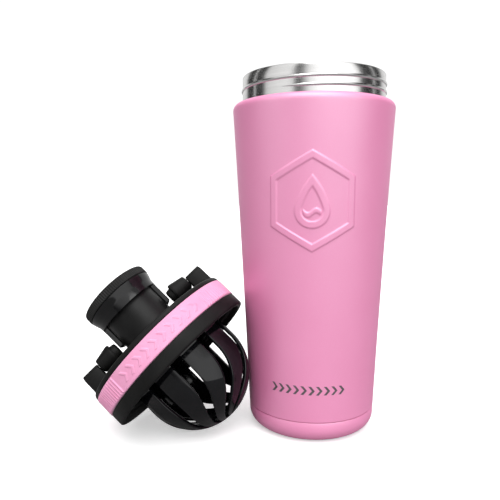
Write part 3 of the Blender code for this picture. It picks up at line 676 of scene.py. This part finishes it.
def make_vessel():
    """The steel liner: a bright threaded neck outside and a duller bore."""
    inset = WALL + VACUUM_GAP
    neck_bottom = SHELL_TOP_Z - SHOULDER_RADIUS
    wall_top = neck_bottom - 8
    floor_edge = LINER_FLOOR_Z + LINER_FILLET
    corner = shell_radius(floor_edge) - inset - LINER_FILLET
    bore = NECK_RADIUS - 1.1
    outside = [(bore + 0.25, RIM_Z - 0.12), (bore + 0.55, RIM_Z)]
    outside += [(NECK_RADIUS - 0.28, RIM_Z - 0.08)]
    outside += [(NECK_RADIUS, RIM_Z - 0.5), (NECK_RADIUS, RIM_Z - 4.6)]
    outside += [(NECK_RADIUS, neck_bottom + 2), (NECK_RADIUS - 0.2, neck_bottom)]
    outside += [(shell_radius(z) - inset, z) for z in np.linspace(wall_top, floor_edge, 6)]
    outside += arc(corner, floor_edge, LINER_FILLET, -10, -90, 6)
    outside += [(0.0, LINER_FLOOR_Z)]
    inset += WALL
    inside = [(0.0, LINER_FLOOR_Z + WALL), (10.0, LINER_FLOOR_Z + WALL)]
    inside += arc(corner, floor_edge, LINER_FILLET - WALL, -90, -5, 12)
    inside += [(shell_radius(z) - inset, z) for z in np.linspace(floor_edge + 1, wall_top, 24)]
    inside += [(shell_radius(wall_top) - inset + 0.15, wall_top + 1.5)]
    inside += [(bore, neck_bottom), (bore, RIM_Z - 0.5)]
    shape = Shape()
    shape.turned(outside, 192, closed=False)
    shape.turned([outside[-1]] + inside + [outside[0]], 192, closed=False, slot=1)
    front = RIM_Z - THREAD_FRONT_DEPTH
    pitch = THREAD_PITCH / TURN
    helix(shape, NECK_RADIUS, THREAD_RIDGE, lambda turn: front + pitch * (turn + math.pi / 2))
    piece = shape.object("steel_vessel", [NECK_STEEL, LINER_STEEL])
    finish_piece(piece, "bottle", "steel", "inner_vessel")


def on_shell(across, height, lift):
    """Points on the shell's front, across and height in millimetres, lifted off the coat."""
    across, height = np.asarray(across, float), np.asarray(height, float)
    radius = shell_radius(height) + lift
    turn = -math.pi / 2 + across / shell_radius(ETCH_Z)
    return np.stack((radius * np.cos(turn), radius * np.sin(turn), height), -1)


def chevron_marks(left, right, middle, height, stroke, count):
    """Quads of a generic row of chevrons, two for each."""
    point = height * 0.42
    pitch = (right - left - point - stroke) / (count - 1)
    quads = []
    for index in range(count):
        x = left + pitch * index
        for side in (1, -1):
            end = middle + side * height / 2
            back, front = (x, end), (x + stroke, end)
            quads.append((back, front, (x + point + stroke, middle), (x + point, middle)))
    return quads


def make_etching():
    """A row of chevrons etched through the coat, laid on it as thin patches."""
    shape = Shape()
    share = np.linspace(0, 1, 5)
    quads = chevron_marks(ETCH_LEFT, ETCH_RIGHT, ETCH_Z, ETCH_HEIGHT, ETCH_STROKE, CHEVRONS)
    for quad in quads:
        a, b, c, d = (np.array(corner) for corner in quad)
        edge_ab = a + (b - a) * share[:, None]
        edge_dc = d + (c - d) * share[:, None]
        patch = edge_ab[:, None, :] + (edge_dc - edge_ab)[:, None, :] * share[None, :, None]
        shape.grid(on_shell(patch[..., 0], patch[..., 1], ETCH_LIFT))
    piece = shape.object("etched_row", [ETCHED_STEEL], weld=0.0)
    finish_piece(piece, "bottle", "steel")


# ---------------------------------------------------------------- lid


def make_lid_shell():
    """Skirt, deck, internal thread, bayonet socket and hinge lugs."""
    under = DECK_TOP - DECK_THICKNESS
    sunk = DECK_TOP - DECK_STEP
    seat_top = BAND_HEIGHT + CLEARANCE
    outside = [(SPOUT_HOLE_RADIUS, DECK_TOP - 1.2, 0.0), (SPOUT_HOLE_RADIUS, DECK_TOP, 0.2)]
    outside += [(SPOUT_PAD_RADIUS, DECK_TOP, 0.1), (SPOUT_PAD_RADIUS + 0.3, sunk, 0.2)]
    outside += [(DECK_RIM_RADIUS - 0.6, sunk, 0.3), (DECK_RIM_RADIUS, DECK_TOP, 0.3)]
    outside += [(SKIRT_RADIUS, DECK_TOP, 1.7), (SKIRT_RADIUS, seat_top, 0.2)]
    outside += [(BAND_SEAT_RADIUS, seat_top, 0.0), (BAND_SEAT_RADIUS, -CLEARANCE, 0.0)]
    outside += [(SKIRT_RADIUS, -CLEARANCE, 0.2), (SKIRT_RADIUS, SKIRT_BOTTOM, 1.3)]
    inside = [(MOUTH_RADIUS, SKIRT_BOTTOM, 0.5), (MOUTH_RADIUS, MOUTH_TOP, 0.3)]
    inside += [(LID_THREAD_RADIUS, MOUTH_TOP + 1, 0.3), (LID_THREAD_RADIUS, under, 0.8)]
    socket = BAYONET_SOCKET_RADIUS
    wall = socket + BAYONET_SOCKET_WALL
    inside += [(wall, under, 0.3), (wall, BAYONET_SOCKET_BOTTOM, 0.4)]
    inside += [(socket, BAYONET_SOCKET_BOTTOM, 0.3), (socket, under, 0.3)]
    inside += [(SPOUT_HOLE_RADIUS, under, 0.3)]
    shape = Shape()
    shape.turned(eased(outside + inside), 180)
    middle = (THREAD_START + THREAD_END) / 2
    pitch = THREAD_PITCH / TURN
    radius, level = LID_THREAD_RADIUS, LID_THREAD_MIDDLE
    helix(shape, radius, LID_THREAD_RIDGE, lambda turn: level + pitch * (turn - middle))
    for side in (1, -1):
        add_lug(shape, side)
    piece = shape.object("lid_shell_black", [MATTE_BLACK], LID_PLACE)
    finish_piece(piece, "lid", "matte_black", "lid_shell")


def add_lug(shape, side):
    """A hinge lug with a round back and soft edges, swept between its two faces."""
    radius, ease = LUG_HALF_DEPTH, LUG_EASE
    outline = [(radius, DECK_TOP - 2)] + arc(0, LUG_TOP - radius, radius, 0, 180, 16)
    outline = np.array(outline + [(-radius, DECK_TOP - 2)])
    centre = np.array((0.0, HINGE_HEIGHT - 3))
    edge = ((LUG_FACE_INSET, 0.0), (ease, 0.0), (ease * 0.3, ease * 0.3), (0.0, ease))
    rings = [(inset, LUG_INNER + depth) for inset, depth in edge]
    rings += [(inset, LUG_OUTER - depth) for inset, depth in reversed(edge)]
    grid = []
    for inset, x in rings:
        away = outline - centre
        shrunk = outline - np.sign(away) * np.minimum(inset, np.abs(away))
        grid.append([(side * x, side * y, z) for y, z in shrunk])
    shape.grid(np.array(grid), False, True)


def band_relief(turn, height, radius):
    """Raised ribs at both ends of the front and back, and a generic raised row on the front."""
    outer = radius > BAND_RADIUS - 0.05
    ribs = np.zeros(np.shape(turn))
    for facing in (BAND_FRONT, BAND_FRONT + math.pi):
        degrees = np.degrees((turn - facing + math.pi) % TURN - math.pi)
        for low, high in BAND_RIB_SPANS:
            inside = (degrees > low) & (degrees < high)
            phase = (degrees - low) / (high - low) * BAND_RIBS
            away = np.abs((phase % 1.0) - 0.5) * 2
            rib = BAND_RIB_RELIEF * (1 - smoothstep(0.25, 0.6, away))
            ribs = np.where(inside, ribs + rib, ribs)
    span = smoothstep(0.35, 0.9, height) * smoothstep(0.35, 0.9, BAND_HEIGHT - height)
    row = np.zeros(np.shape(turn))
    across = ((turn - BAND_FRONT + math.pi) % TURN - math.pi) * BAND_RADIUS
    near = (np.abs(across) < BAND_ROW_REACH) & outer
    x, y = across[near], height[near] - BAND_HEIGHT / 2
    best = np.full(np.shape(x), 99.0)
    ends = (BAND_ROW_LEFT, BAND_ROW_RIGHT)
    for quad in chevron_marks(*ends, 0.0, BAND_ROW_HEIGHT, BAND_ROW_STROKE, CHEVRONS):
        best = np.minimum(best, polygon_distance(x, y, quad))
    row[near] = BAND_ROW_RELIEF * (1 - smoothstep(-0.05, 0.35, best))
    return np.where(outer, ribs * span + row, 0.0)


def make_band():
    """The silicone ring round the skirt."""
    chamfer = 0.55
    seat = BAND_SEAT_RADIUS + CLEARANCE
    rim = BAND_RADIUS - chamfer
    corner = BAND_RADIUS - chamfer * 0.3
    profile = [(seat, BAND_HEIGHT), (rim, BAND_HEIGHT), (corner, BAND_HEIGHT - chamfer * 0.3)]
    profile += [(BAND_RADIUS, z) for z in np.linspace(BAND_HEIGHT - chamfer, chamfer, 44)]
    profile += [(corner, chamfer * 0.3), (rim, 0.0), (seat, 0.0)]
    shape = Shape()
    shape.turned(profile, 1100, relief=band_relief)
    piece = shape.object("silicone_band", [PINK_SILICONE], LID_PLACE, sharp=60)
    finish_piece(piece, "lid", "pink_silicone", "lid_band")


def make_post():
    """The fixed spout, with a central plug held by three webs."""
    seat = DECK_TOP + CLEARANCE
    spigot = SPOUT_HOLE_RADIUS - CLEARANCE
    bore = spigot - SPIGOT_WALL
    low = DECK_TOP - DECK_THICKNESS
    groove_low = POST_TOP - POST_GROOVE_DROP - POST_GROOVE_HALF
    groove_high = POST_TOP - POST_GROOVE_DROP + POST_GROOVE_HALF
    groove = POST_RADIUS - POST_GROOVE_DEPTH
    corners = [(POST_RADIUS, POST_TOP, 0.6), (POST_RADIUS, groove_high, 0.2)]
    corners += [(groove, groove_high, 0.0), (groove, groove_low, 0.0)]
    corners += [(POST_RADIUS, groove_low, 0.2), (POST_RADIUS, seat + 2.4, 0.6)]
    corners += [(POST_RADIUS + 0.7, seat, 0.2), (spigot, seat, 0.0), (spigot, low, 0.3)]
    corners += [(bore, low, 0.3), (bore, seat + 2, 0.3)]
    corners += [(POST_BORE, seat + 4, 0.5), (POST_BORE, POST_TOP, 0.3)]
    shape = Shape()
    shape.turned(eased(corners), 128)
    stem_low = POST_TOP - PLUG_DEPTH
    stem = [(0.0, PLUG_TOP, 0.0), (PLUG_RADIUS, PLUG_TOP, 0.4)]
    stem += [(PLUG_RADIUS, stem_low, 0.4), (0.0, stem_low, 0.0)]
    shape.turned(eased(stem, closed=False), 48, closed=False)
    high = (POST_BORE + 0.8, WEB_HALF, stem_low + WEB_HEIGHT)
    for index in range(WEB_COUNT):
        spin = np.array(Matrix.Rotation(WEB_FIRST + TURN * index / WEB_COUNT, 3, "Z").transposed())
        box_patch(shape, (2.0, -WEB_HALF, stem_low), high, 0.3, lambda points: points @ spin)
    piece = shape.object("spout_post_black", [SATIN_BLACK], LID_PLACE)
    finish_piece(piece, "lid", "satin_black", "spout_post")


def make_cap():
    """The pull-up cap: a flared head with a drinking hole, and a guide sleeve behind the post."""
    rim = GRIP_RADIUS - CAP_RIM_STEP
    top = CAP_TOP - CAP_PLATE_DROP
    under = top - CAP_PLATE
    corners = [(DRINK_HOLE_RADIUS, top - 0.6, 0.3), (DRINK_HOLE_RADIUS + 2, top, 0.8)]
    corners += [(rim - 1, top, 0.4), (rim, top - 0.8, 0.2), (rim, CAP_RIM_BOTTOM, 0.0)]
    corners += [(rim + 1.0, CAP_RIM_BOTTOM - 0.1, 0.15), (CAP_FLARE_RADIUS, CAP_FLARE_TOP, 0.7)]
    corners += [(CAP_WAIST_RADIUS, CAP_WAIST_TOP, 0.8)]
    corners += [(CAP_SLEEVE_RADIUS, CAP_WAIST_BOTTOM, 1.4), (CAP_SLEEVE_RADIUS, 32.0, 0.0)]
    corners += [(CAP_SLEEVE_RADIUS, CAP_SLEEVE_BOTTOM, 0.4)]
    corners += [(CAP_SLEEVE_BORE, CAP_SLEEVE_BOTTOM, 0.4), (CAP_SLEEVE_BORE, under - 1, 0.4)]
    corners += [(CAP_SLEEVE_BORE - 1, under, 0.3), (DRINK_HOLE_RADIUS, under, 0.2)]
    shape = Shape()
    shape.turned(eased(corners), 180)
    cap = shape.object("pop_cap_gloss", [GLOSS_BLACK], LID_PLACE)
    reach = 30
    window = Shape()
    box_patch(window, (-reach, -reach, -reach), (reach, CAP_WINDOW_FRONT, 0), 0.02)
    lift = Matrix.Translation((0, 0, CAP_WINDOW_TOP * MM))
    tilt = Matrix.Rotation(CAP_WINDOW_TILT, 4, "X")
    cutter = window.object("cap_window", [GLOSS_BLACK], LID_PLACE @ lift @ tilt)
    cut = cap.modifiers.new("window", "BOOLEAN")
    cut.operation = "DIFFERENCE"
    cut.object = cutter
    cut.solver = "EXACT"
    edge = cap.modifiers.new("edge", "BEVEL")
    edge.width = 0.25 * MM
    edge.segments = 2
    edge.limit_method = "ANGLE"
    edge.angle_limit = math.radians(50)
    bake_modifiers(cap, sharp=38)
    bpy.data.objects.remove(cutter, do_unlink=True)
    finish_piece(cap, "cap", "gloss_black", "pop_cap")


def bake_modifiers(piece, sharp):
    """Applies a piece's modifiers to its mesh."""
    bpy.context.view_layer.update()
    evaluated = piece.evaluated_get(bpy.context.evaluated_depsgraph_get())
    mesh = bpy.data.meshes.new_from_object(evaluated)
    piece.modifiers.clear()
    piece.data = mesh
    mesh.shade_smooth()
    mesh.set_sharp_from_angle(angle=math.radians(sharp))


def grip_relief(turn, height, radius):
    """Fine upright grooves that fade out at the ring's edges."""
    crest = 0.5 + 0.5 * np.cos(turn * GRIP_RIBS)
    depth = GRIP_DEPTH * smoothstep(0.15, 0.75, 1 - crest)
    edge = smoothstep(0.5, 1.1, height - CAP_RIM_BOTTOM) * smoothstep(0.5, 1.1, CAP_TOP - height)
    return np.where(radius > GRIP_RADIUS - 0.05, -depth * edge, 0.0)


def make_grip():
    """The ribbed ring round the cap's head."""
    inner = GRIP_RADIUS - 1.0
    low = CAP_RIM_BOTTOM + CLEARANCE
    corners = [(inner, CAP_TOP), (GRIP_RADIUS - 0.7, CAP_TOP), (GRIP_RADIUS - 0.2, CAP_TOP - 0.22)]
    corners += [(GRIP_RADIUS, z) for z in np.linspace(CAP_TOP - 0.7, low + 0.6, 12)]
    corners += [(GRIP_RADIUS - 0.25, low + 0.15), (GRIP_RADIUS - 0.6, low), (inner, low)]
    shape = Shape()
    shape.turned(corners, 1024, relief=grip_relief)
    piece = shape.object("grip_ring_ribbed", [GRIP_BLACK], LID_PLACE, sharp=60)
    finish_piece(piece, "cap", "grip_black", "cap_grip_ring")


def bail_outline():
    """The flat bail's outline, inset by its rounded edge: round the outside, back by the inside."""
    half, reach = ARM_OUTER - HANDLE_EASE, HANDLE_REACH - HANDLE_EASE
    clear_half = HANDLE_CLEAR_HALF + HANDLE_EASE
    clear_reach = HANDLE_CLEAR_REACH + HANDLE_EASE
    corner, inner_corner = HANDLE_CORNER, HANDLE_INNER_CORNER
    bend = arc(half - corner, reach - corner, corner, 0, 90, 18)
    inner_bend = arc(clear_half - inner_corner, clear_reach - inner_corner, inner_corner, 0, 90, 14)
    outline = [(clear_half, -HANDLE_OVERLAP), (half, -HANDLE_OVERLAP)] + bend
    outline += [(-x, y) for x, y in reversed(bend)]
    outline += [(-half, -HANDLE_OVERLAP), (-clear_half, -HANDLE_OVERLAP)]
    outline += [(-x, y) for x, y in inner_bend]
    return outline + inner_bend[::-1]


def add_eye(shape, side):
    """An eye turned about the hinge axis, with a smaller hub towards the spout."""
    gap = HINGE_PIN_RADIUS + CLEARANCE
    corners = [(gap, ARM_OUTER, 0.2), (EYE_OUTER_RADIUS, ARM_OUTER, 0.8)]
    corners += [(EYE_RADIUS, ARM_INNER + 1.2, 0.8), (EYE_RADIUS - 0.3, ARM_INNER, 0.3)]
    corners += [(EYE_HUB_RADIUS, ARM_INNER, 0.2), (EYE_HUB_RADIUS - 0.4, EYE_HUB_INNER, 1.2)]
    corners += [(gap, EYE_HUB_INNER, 0.2)]
    profile = np.array(eased(corners))
    angles = np.linspace(0, TURN, 56, endpoint=False)
    radius = np.repeat(profile[:, :1], len(angles), 1)
    along = np.repeat(profile[:, 1:], len(angles), 1) * side
    points = np.stack((along, radius * np.cos(angles), radius * np.sin(angles)), -1)
    shape.grid(points, True, True)


def make_handle():
    """The carry bail: a flat loop with round edges and an eye at each end."""
    curve = bpy.data.curves.new("carry_bail", "CURVE")
    curve.dimensions = "2D"
    curve.fill_mode = "BOTH"
    curve.extrude = (HANDLE_THICKNESS / 2 - HANDLE_EASE) * MM
    curve.bevel_depth = HANDLE_EASE * MM
    curve.bevel_resolution = 4
    outline = bail_outline()
    spline = curve.splines.new("POLY")
    spline.points.add(len(outline) - 1)
    spline.use_cyclic_u = True
    for point, (x, y) in zip(spline.points, outline):
        point.co = (x * MM, y * MM, 0, 1)
    source = bpy.data.objects.new("bail_curve", curve)
    bpy.context.scene.collection.objects.link(source)
    bpy.context.view_layer.update()
    evaluated = source.evaluated_get(bpy.context.evaluated_depsgraph_get())
    bail = bpy.data.meshes.new_from_object(evaluated)
    bpy.data.objects.remove(source, do_unlink=True)
    shape = Shape()
    points = np.array([vertex.co for vertex in bail.vertices]) / MM
    shape.patch(points, [list(polygon.vertices) for polygon in bail.polygons])
    for side in (1, -1):
        add_eye(shape, side)
    piece = shape.object("carry_bail", [MATTE_BLACK], HANDLE_PLACE)
    finish_piece(piece, "handle", "matte_black", "carry_handle")


def swirl_at(height):
    """How far the ribs have turned at a height, so that they swirl towards the pole."""
    polar = math.acos(max(-1.0, min(1.0, (CAGE_CENTRE - height) / CAGE_RADIUS)))
    share = (CAGE_SWIRL_START - polar) / (CAGE_SWIRL_START - CAGE_SWIRL_END)
    return -CAGE_SWIRL * max(0.0, min(1.0, share)) ** CAGE_SWIRL_BEND


def rib_section(width):
    """Outline of a rib's section, (across, depth) from its outer face, with eased edges."""
    ease, wall = CAGE_EASE, CAGE_WALL
    flat = width - ease
    corner = width - ease * 0.3
    section = [(share * flat, 0.0) for share in np.linspace(-1, 1, 15)]
    section += [(corner, ease * 0.3), (width, ease)]
    section += [(width, wall - ease), (corner, wall - ease * 0.3)]
    section += [(share * flat, wall) for share in np.linspace(1, -1, 9)]
    section += [(-corner, wall - ease * 0.3), (-width, wall - ease)]
    return section + [(-width, ease), (-corner, ease * 0.3)]


def add_rib(shape, middle, path, normals):
    """One rib swept along its path of (radius, height), turning with the swirl."""
    half = (TURN / CAGE_SLOTS - CAGE_SLOT_ANGLE) / 2
    grid = []
    for (r, z), (out_r, out_z) in zip(path, normals):
        turn = middle + swirl_at(z)
        row = []
        for across, depth in rib_section(half * r):
            angle = turn + across / r
            radius = max(r - out_r * depth, 0.3)
            row.append((radius * math.cos(angle), radius * math.sin(angle), z - out_z * depth))
        grid.append(row)
    shape.grid(np.array(grid), False, True)


def add_bayonet_tab(shape, middle):
    """A tab on the collar that turns under the lid's catches."""
    low, high, inner, outer = BAYONET_LOW, BAYONET_HIGH, BAYONET_INNER, BAYONET_OUTER
    loop = [(inner, low), (outer - 0.2, low), (outer, low + 0.2)]
    loop += [(outer, high - 0.2), (outer - 0.2, high), (inner, high)]
    angles = np.linspace(middle - BAYONET_HALF_ANGLE, middle + BAYONET_HALF_ANGLE, 13)
    grid = [[(r * math.cos(a), r * math.sin(a), z) for r, z in loop] for a in angles]
    shape.grid(np.array(grid), False, True)
    for row in (grid[0], grid[-1]):
        shape.patch(row, [list(range(len(loop)))])


def make_cage():
    """Ten ribs swept down a sphere from the collar to the pole cap."""
    shape = Shape()
    inner = CAGE_RADIUS - CAGE_WALL
    collar_inner = CAGE_COLLAR_RADIUS - CAGE_WALL
    ring = [(CAGE_COLLAR_RADIUS, CAGE_TOP, 0.4), (CAGE_COLLAR_RADIUS, CAGE_SLOT_TOP, 0.3)]
    ring += [(collar_inner, CAGE_SLOT_TOP, 0.3), (collar_inner, CAGE_TOP, 0.4)]
    shape.turned(eased(ring), 180)
    pole = math.acos(CAGE_POLE_RADIUS / CAGE_RADIUS)
    pole_degrees = math.degrees(pole)
    low = CAGE_CENTRE - CAGE_RADIUS
    edge_z = CAGE_CENTRE - math.sin(pole) * (CAGE_RADIUS - 1.0)
    cap = [(0.0, low + CAGE_WALL)] + arc(0, CAGE_CENTRE, inner, -89, -pole_degrees, 5)
    cap += [(CAGE_POLE_RADIUS + 0.35, edge_z)]
    cap += arc(0, CAGE_CENTRE, CAGE_RADIUS, -pole_degrees, -89, 5) + [(0.0, low)]
    shape.turned(cap, 72, closed=False)
    drops = (1.2, 0.0, -0.9)
    path = [(CAGE_COLLAR_RADIUS, CAGE_SLOT_TOP + drop) for drop in drops]
    path += [(CAGE_COLLAR_RADIUS - 0.12, -4.5), (CAGE_RADIUS + 0.2, -5.4)]
    path += [(CAGE_RADIUS, z) for z in (-7.0, -9.0, -12.0)]
    path += arc(0, CAGE_CENTRE, CAGE_RADIUS, 0, -pole_degrees - 0.8, 40)
    tangent = np.gradient(np.array(path), axis=0)
    normals = np.stack((tangent[:, 1], -tangent[:, 0]), -1)
    normals /= np.linalg.norm(normals, axis=1)[:, None]
    normals *= np.sign(normals[:, :1] + 1e-9)
    for index in range(CAGE_SLOTS):
        add_rib(shape, CAGE_FIRST_SLOT + (index + 0.5) * TURN / CAGE_SLOTS, path, normals)
    for index in range(BAYONET_COUNT):
        add_bayonet_tab(shape, BAYONET_FIRST + index * TURN / BAYONET_COUNT)
    piece = shape.object("mixing_cage", [CAGE_BLACK], LID_PLACE, sharp=45)
    finish_piece(piece, "agitator", "cage_black", "agitator_cage")


# ---------------------------------------------------------------- carried-over nodes


def finish_nodes():
    """Better materials for the small CAD nodes that keep their own shape."""
    pairs = (
        ("vacuum_base", LINER_STEEL),
        ("seal_plug", SOLDER),
        ("vacuum_getter", GETTER),
        ("lid_gasket", CLEAR_SILICONE),
        ("hinge_pin_right", LINER_STEEL),
        ("hinge_pin_left", LINER_STEEL),
        ("spout_oring", CLEAR_SILICONE),
        ("plug_tip", CLEAR_SILICONE),
    )
    for name, material in pairs:
        node = NODES[name]
        node.data.materials.clear()
        node.data.materials.append(material)


# ---------------------------------------------------------------- studio

FLOOR_BOUNCE = 0.30
FLOOR_GLOW = 0.45
FLOOR_RADIUS = 6.0


def grey(value):
    return (value, value, value, 1.0)


def make_floor():
    """A pale floor that throws less light on the object than the camera sees in it."""
    finish = Finish("studio_floor", 0.7)
    cloud = finish.remap(finish.noise(220, 3), 0.0, 1.0)
    finish.colour(finish.mix(cloud, (0.86, 0.86, 0.86), (0.88, 0.88, 0.88)))
    dim = finish.node("ShaderNodeBsdfDiffuse")
    dim.inputs["Color"].default_value = grey(FLOOR_BOUNCE)
    seen = finish.node("ShaderNodeLightPath")
    choose = finish.node("ShaderNodeMixShader")
    finish.link(seen.outputs["Is Camera Ray"], choose.inputs[0])
    finish.link(dim.outputs[0], choose.inputs[1])
    finish.link(finish.shader.outputs[0], choose.inputs[2])
    finish.link(choose.outputs[0], finish.tree.nodes["Material Output"].inputs["Surface"])
    finish.bump(finish.noise(3.0, 3), 0.05, 0.2)
    finish.set(Emission_Color=grey(1.0), Emission_Strength=FLOOR_GLOW)
    finish.set(Specular_IOR_Level=0.15)
    mesh = bpy.data.meshes.new("studio_floor")
    bm = bmesh.new()
    bmesh.ops.create_circle(bm, cap_ends=True, segments=96, radius=FLOOR_RADIUS)
    bmesh.ops.translate(bm, verts=bm.verts, vec=(0, 0, -0.0002))
    bm.to_mesh(mesh)
    bm.free()
    mesh.materials.append(finish.material)
    floor = bpy.data.objects.new("studio_floor", mesh)
    bpy.context.scene.collection.objects.link(floor)


# Brightness of the surroundings by direction, in degrees from the front towards the right
WORLD_BANDS = (
    (-180, 1.00), (-134, 0.95), (-126, 0.03), (-107, 0.03), (-106, 1.30), (-104, 1.30),
    (-103, 0.03), (-84, 0.03), (-78, 0.95), (-32, 1.30), (-28, 0.06), (-18, 0.12),
    (-6, 1.30), (20, 1.95), (55, 1.95), (72, 1.45), (78, 0.03), (105, 0.03),
    (106, 1.30), (108, 1.30), (109, 0.03), (126, 0.03), (134, 0.95), (180, 1.00),
)

# Brightness above the object, and of what the camera sees behind it
OVERHEAD = 0.95
BACKDROP = 1.06
OVERHEAD_FROM = 0.62
OVERHEAD_FULL = 0.86


def make_world():
    """Soft boxes and dark gaps round the object, a bright top and a flat white backdrop."""
    world = bpy.data.worlds.new("studio")
    bpy.context.scene.world = world
    world.use_nodes = True
    tree = world.node_tree

    def node(kind, *inputs, **settings):
        """A node with its settings and, for (socket, source) pairs, its links and values."""
        made = tree.nodes.new(kind)
        for key, setting in settings.items():
            setattr(made, key, setting)
        for socket, source in inputs:
            if isinstance(source, bpy.types.NodeSocket):
                tree.links.new(source, made.inputs[socket])
            else:
                made.inputs[socket].default_value = source
        return made

    ahead = node("ShaderNodeTexCoord").outputs["Generated"]
    x, y, z = node("ShaderNodeSeparateXYZ", (0, ahead)).outputs
    flip = node("ShaderNodeMath", (0, y), (1, -1.0), operation="MULTIPLY").outputs[0]
    turn = node("ShaderNodeMath", (0, x), (1, flip), operation="ARCTAN2").outputs[0]
    ends = (("From Min", -math.pi), ("From Max", math.pi))
    share = node("ShaderNodeMapRange", ("Value", turn), *ends).outputs["Result"]
    ramp = node("ShaderNodeValToRGB", ("Fac", share))
    elements = ramp.color_ramp.elements
    brightest = max(value for angle, value in WORLD_BANDS)
    elements[0].position = 0.0
    elements[1].position = 1.0
    for angle, value in WORLD_BANDS[1:-1]:
        elements.new((angle + 180) / 360)
    for element, (angle, value) in zip(elements, WORLD_BANDS):
        element.color = grey(value / brightest)
    ends = (("From Min", OVERHEAD_FROM), ("From Max", OVERHEAD_FULL))
    lift = node("ShaderNodeMapRange", ("Value", z), *ends, interpolation_type="SMOOTHSTEP")
    seen = node("ShaderNodeLightPath").outputs["Is Camera Ray"]
    colour = ramp.outputs["Color"]
    for share, value in ((lift.outputs["Result"], OVERHEAD), (seen, BACKDROP)):
        ends = ((6, colour), (7, grey(value / brightest)))
        colour = node("ShaderNodeMix", (0, share), *ends, data_type="RGBA").outputs[2]
    background = tree.nodes["Background"]
    tree.links.new(colour, background.inputs["Color"])
    background.inputs["Strength"].default_value = brightest


def make_sun(name, source, spread, strength):
    """A broad soft light from far away in the direction of source."""
    data = bpy.data.lights.new(name, "SUN")
    data.angle = math.radians(spread)
    data.energy = strength
    light = bpy.data.objects.new(name, data)
    bpy.context.scene.collection.objects.link(light)
    light.rotation_mode = "QUATERNION"
    light.rotation_quaternion = (-Vector(source)).to_track_quat("-Z", "Y")


CAMERA_PLACE = Vector((0, -0.30846, 0.13435))
CAMERA_YAW = math.radians(-6.734)
CAMERA_PITCH = math.radians(-6.076)
CAMERA_ROLL = math.radians(-0.169)
CAMERA_LENS = 37.87


def make_camera():
    """The camera, from its place and its yaw, pitch and roll."""
    data = bpy.data.cameras.new("studio_camera")
    data.sensor_width = 36
    data.lens = CAMERA_LENS
    data.clip_start = 0.01
    data.clip_end = 50
    camera = bpy.data.objects.new("studio_camera", data)
    bpy.context.scene.collection.objects.link(camera)
    level = Vector((math.sin(CAMERA_YAW), math.cos(CAMERA_YAW), 0))
    beside = Vector((math.cos(CAMERA_YAW), -math.sin(CAMERA_YAW), 0))
    ahead = level * math.cos(CAMERA_PITCH) + Vector((0, 0, 1)) * math.sin(CAMERA_PITCH)
    above = Vector((0, 0, 1)) * math.cos(CAMERA_PITCH) - level * math.sin(CAMERA_PITCH)
    right = beside * math.cos(CAMERA_ROLL) + above * math.sin(CAMERA_ROLL)
    up = above * math.cos(CAMERA_ROLL) - beside * math.sin(CAMERA_ROLL)
    facing = Matrix((right, up, -ahead)).transposed().to_4x4()
    camera.matrix_world = Matrix.Translation(CAMERA_PLACE) @ facing
    bpy.context.scene.camera = camera


make_shell()
make_base()
make_vessel()
make_etching()
make_lid_shell()
make_band()
make_post()
make_cap()
make_grip()
make_handle()
make_cage()
finish_nodes()
make_floor()
make_world()
make_sun("overhead", (0.04, -0.42, 1.0), 50.0, 1.75)
make_camera()
bpy.context.scene.view_settings.view_transform = "Standard"
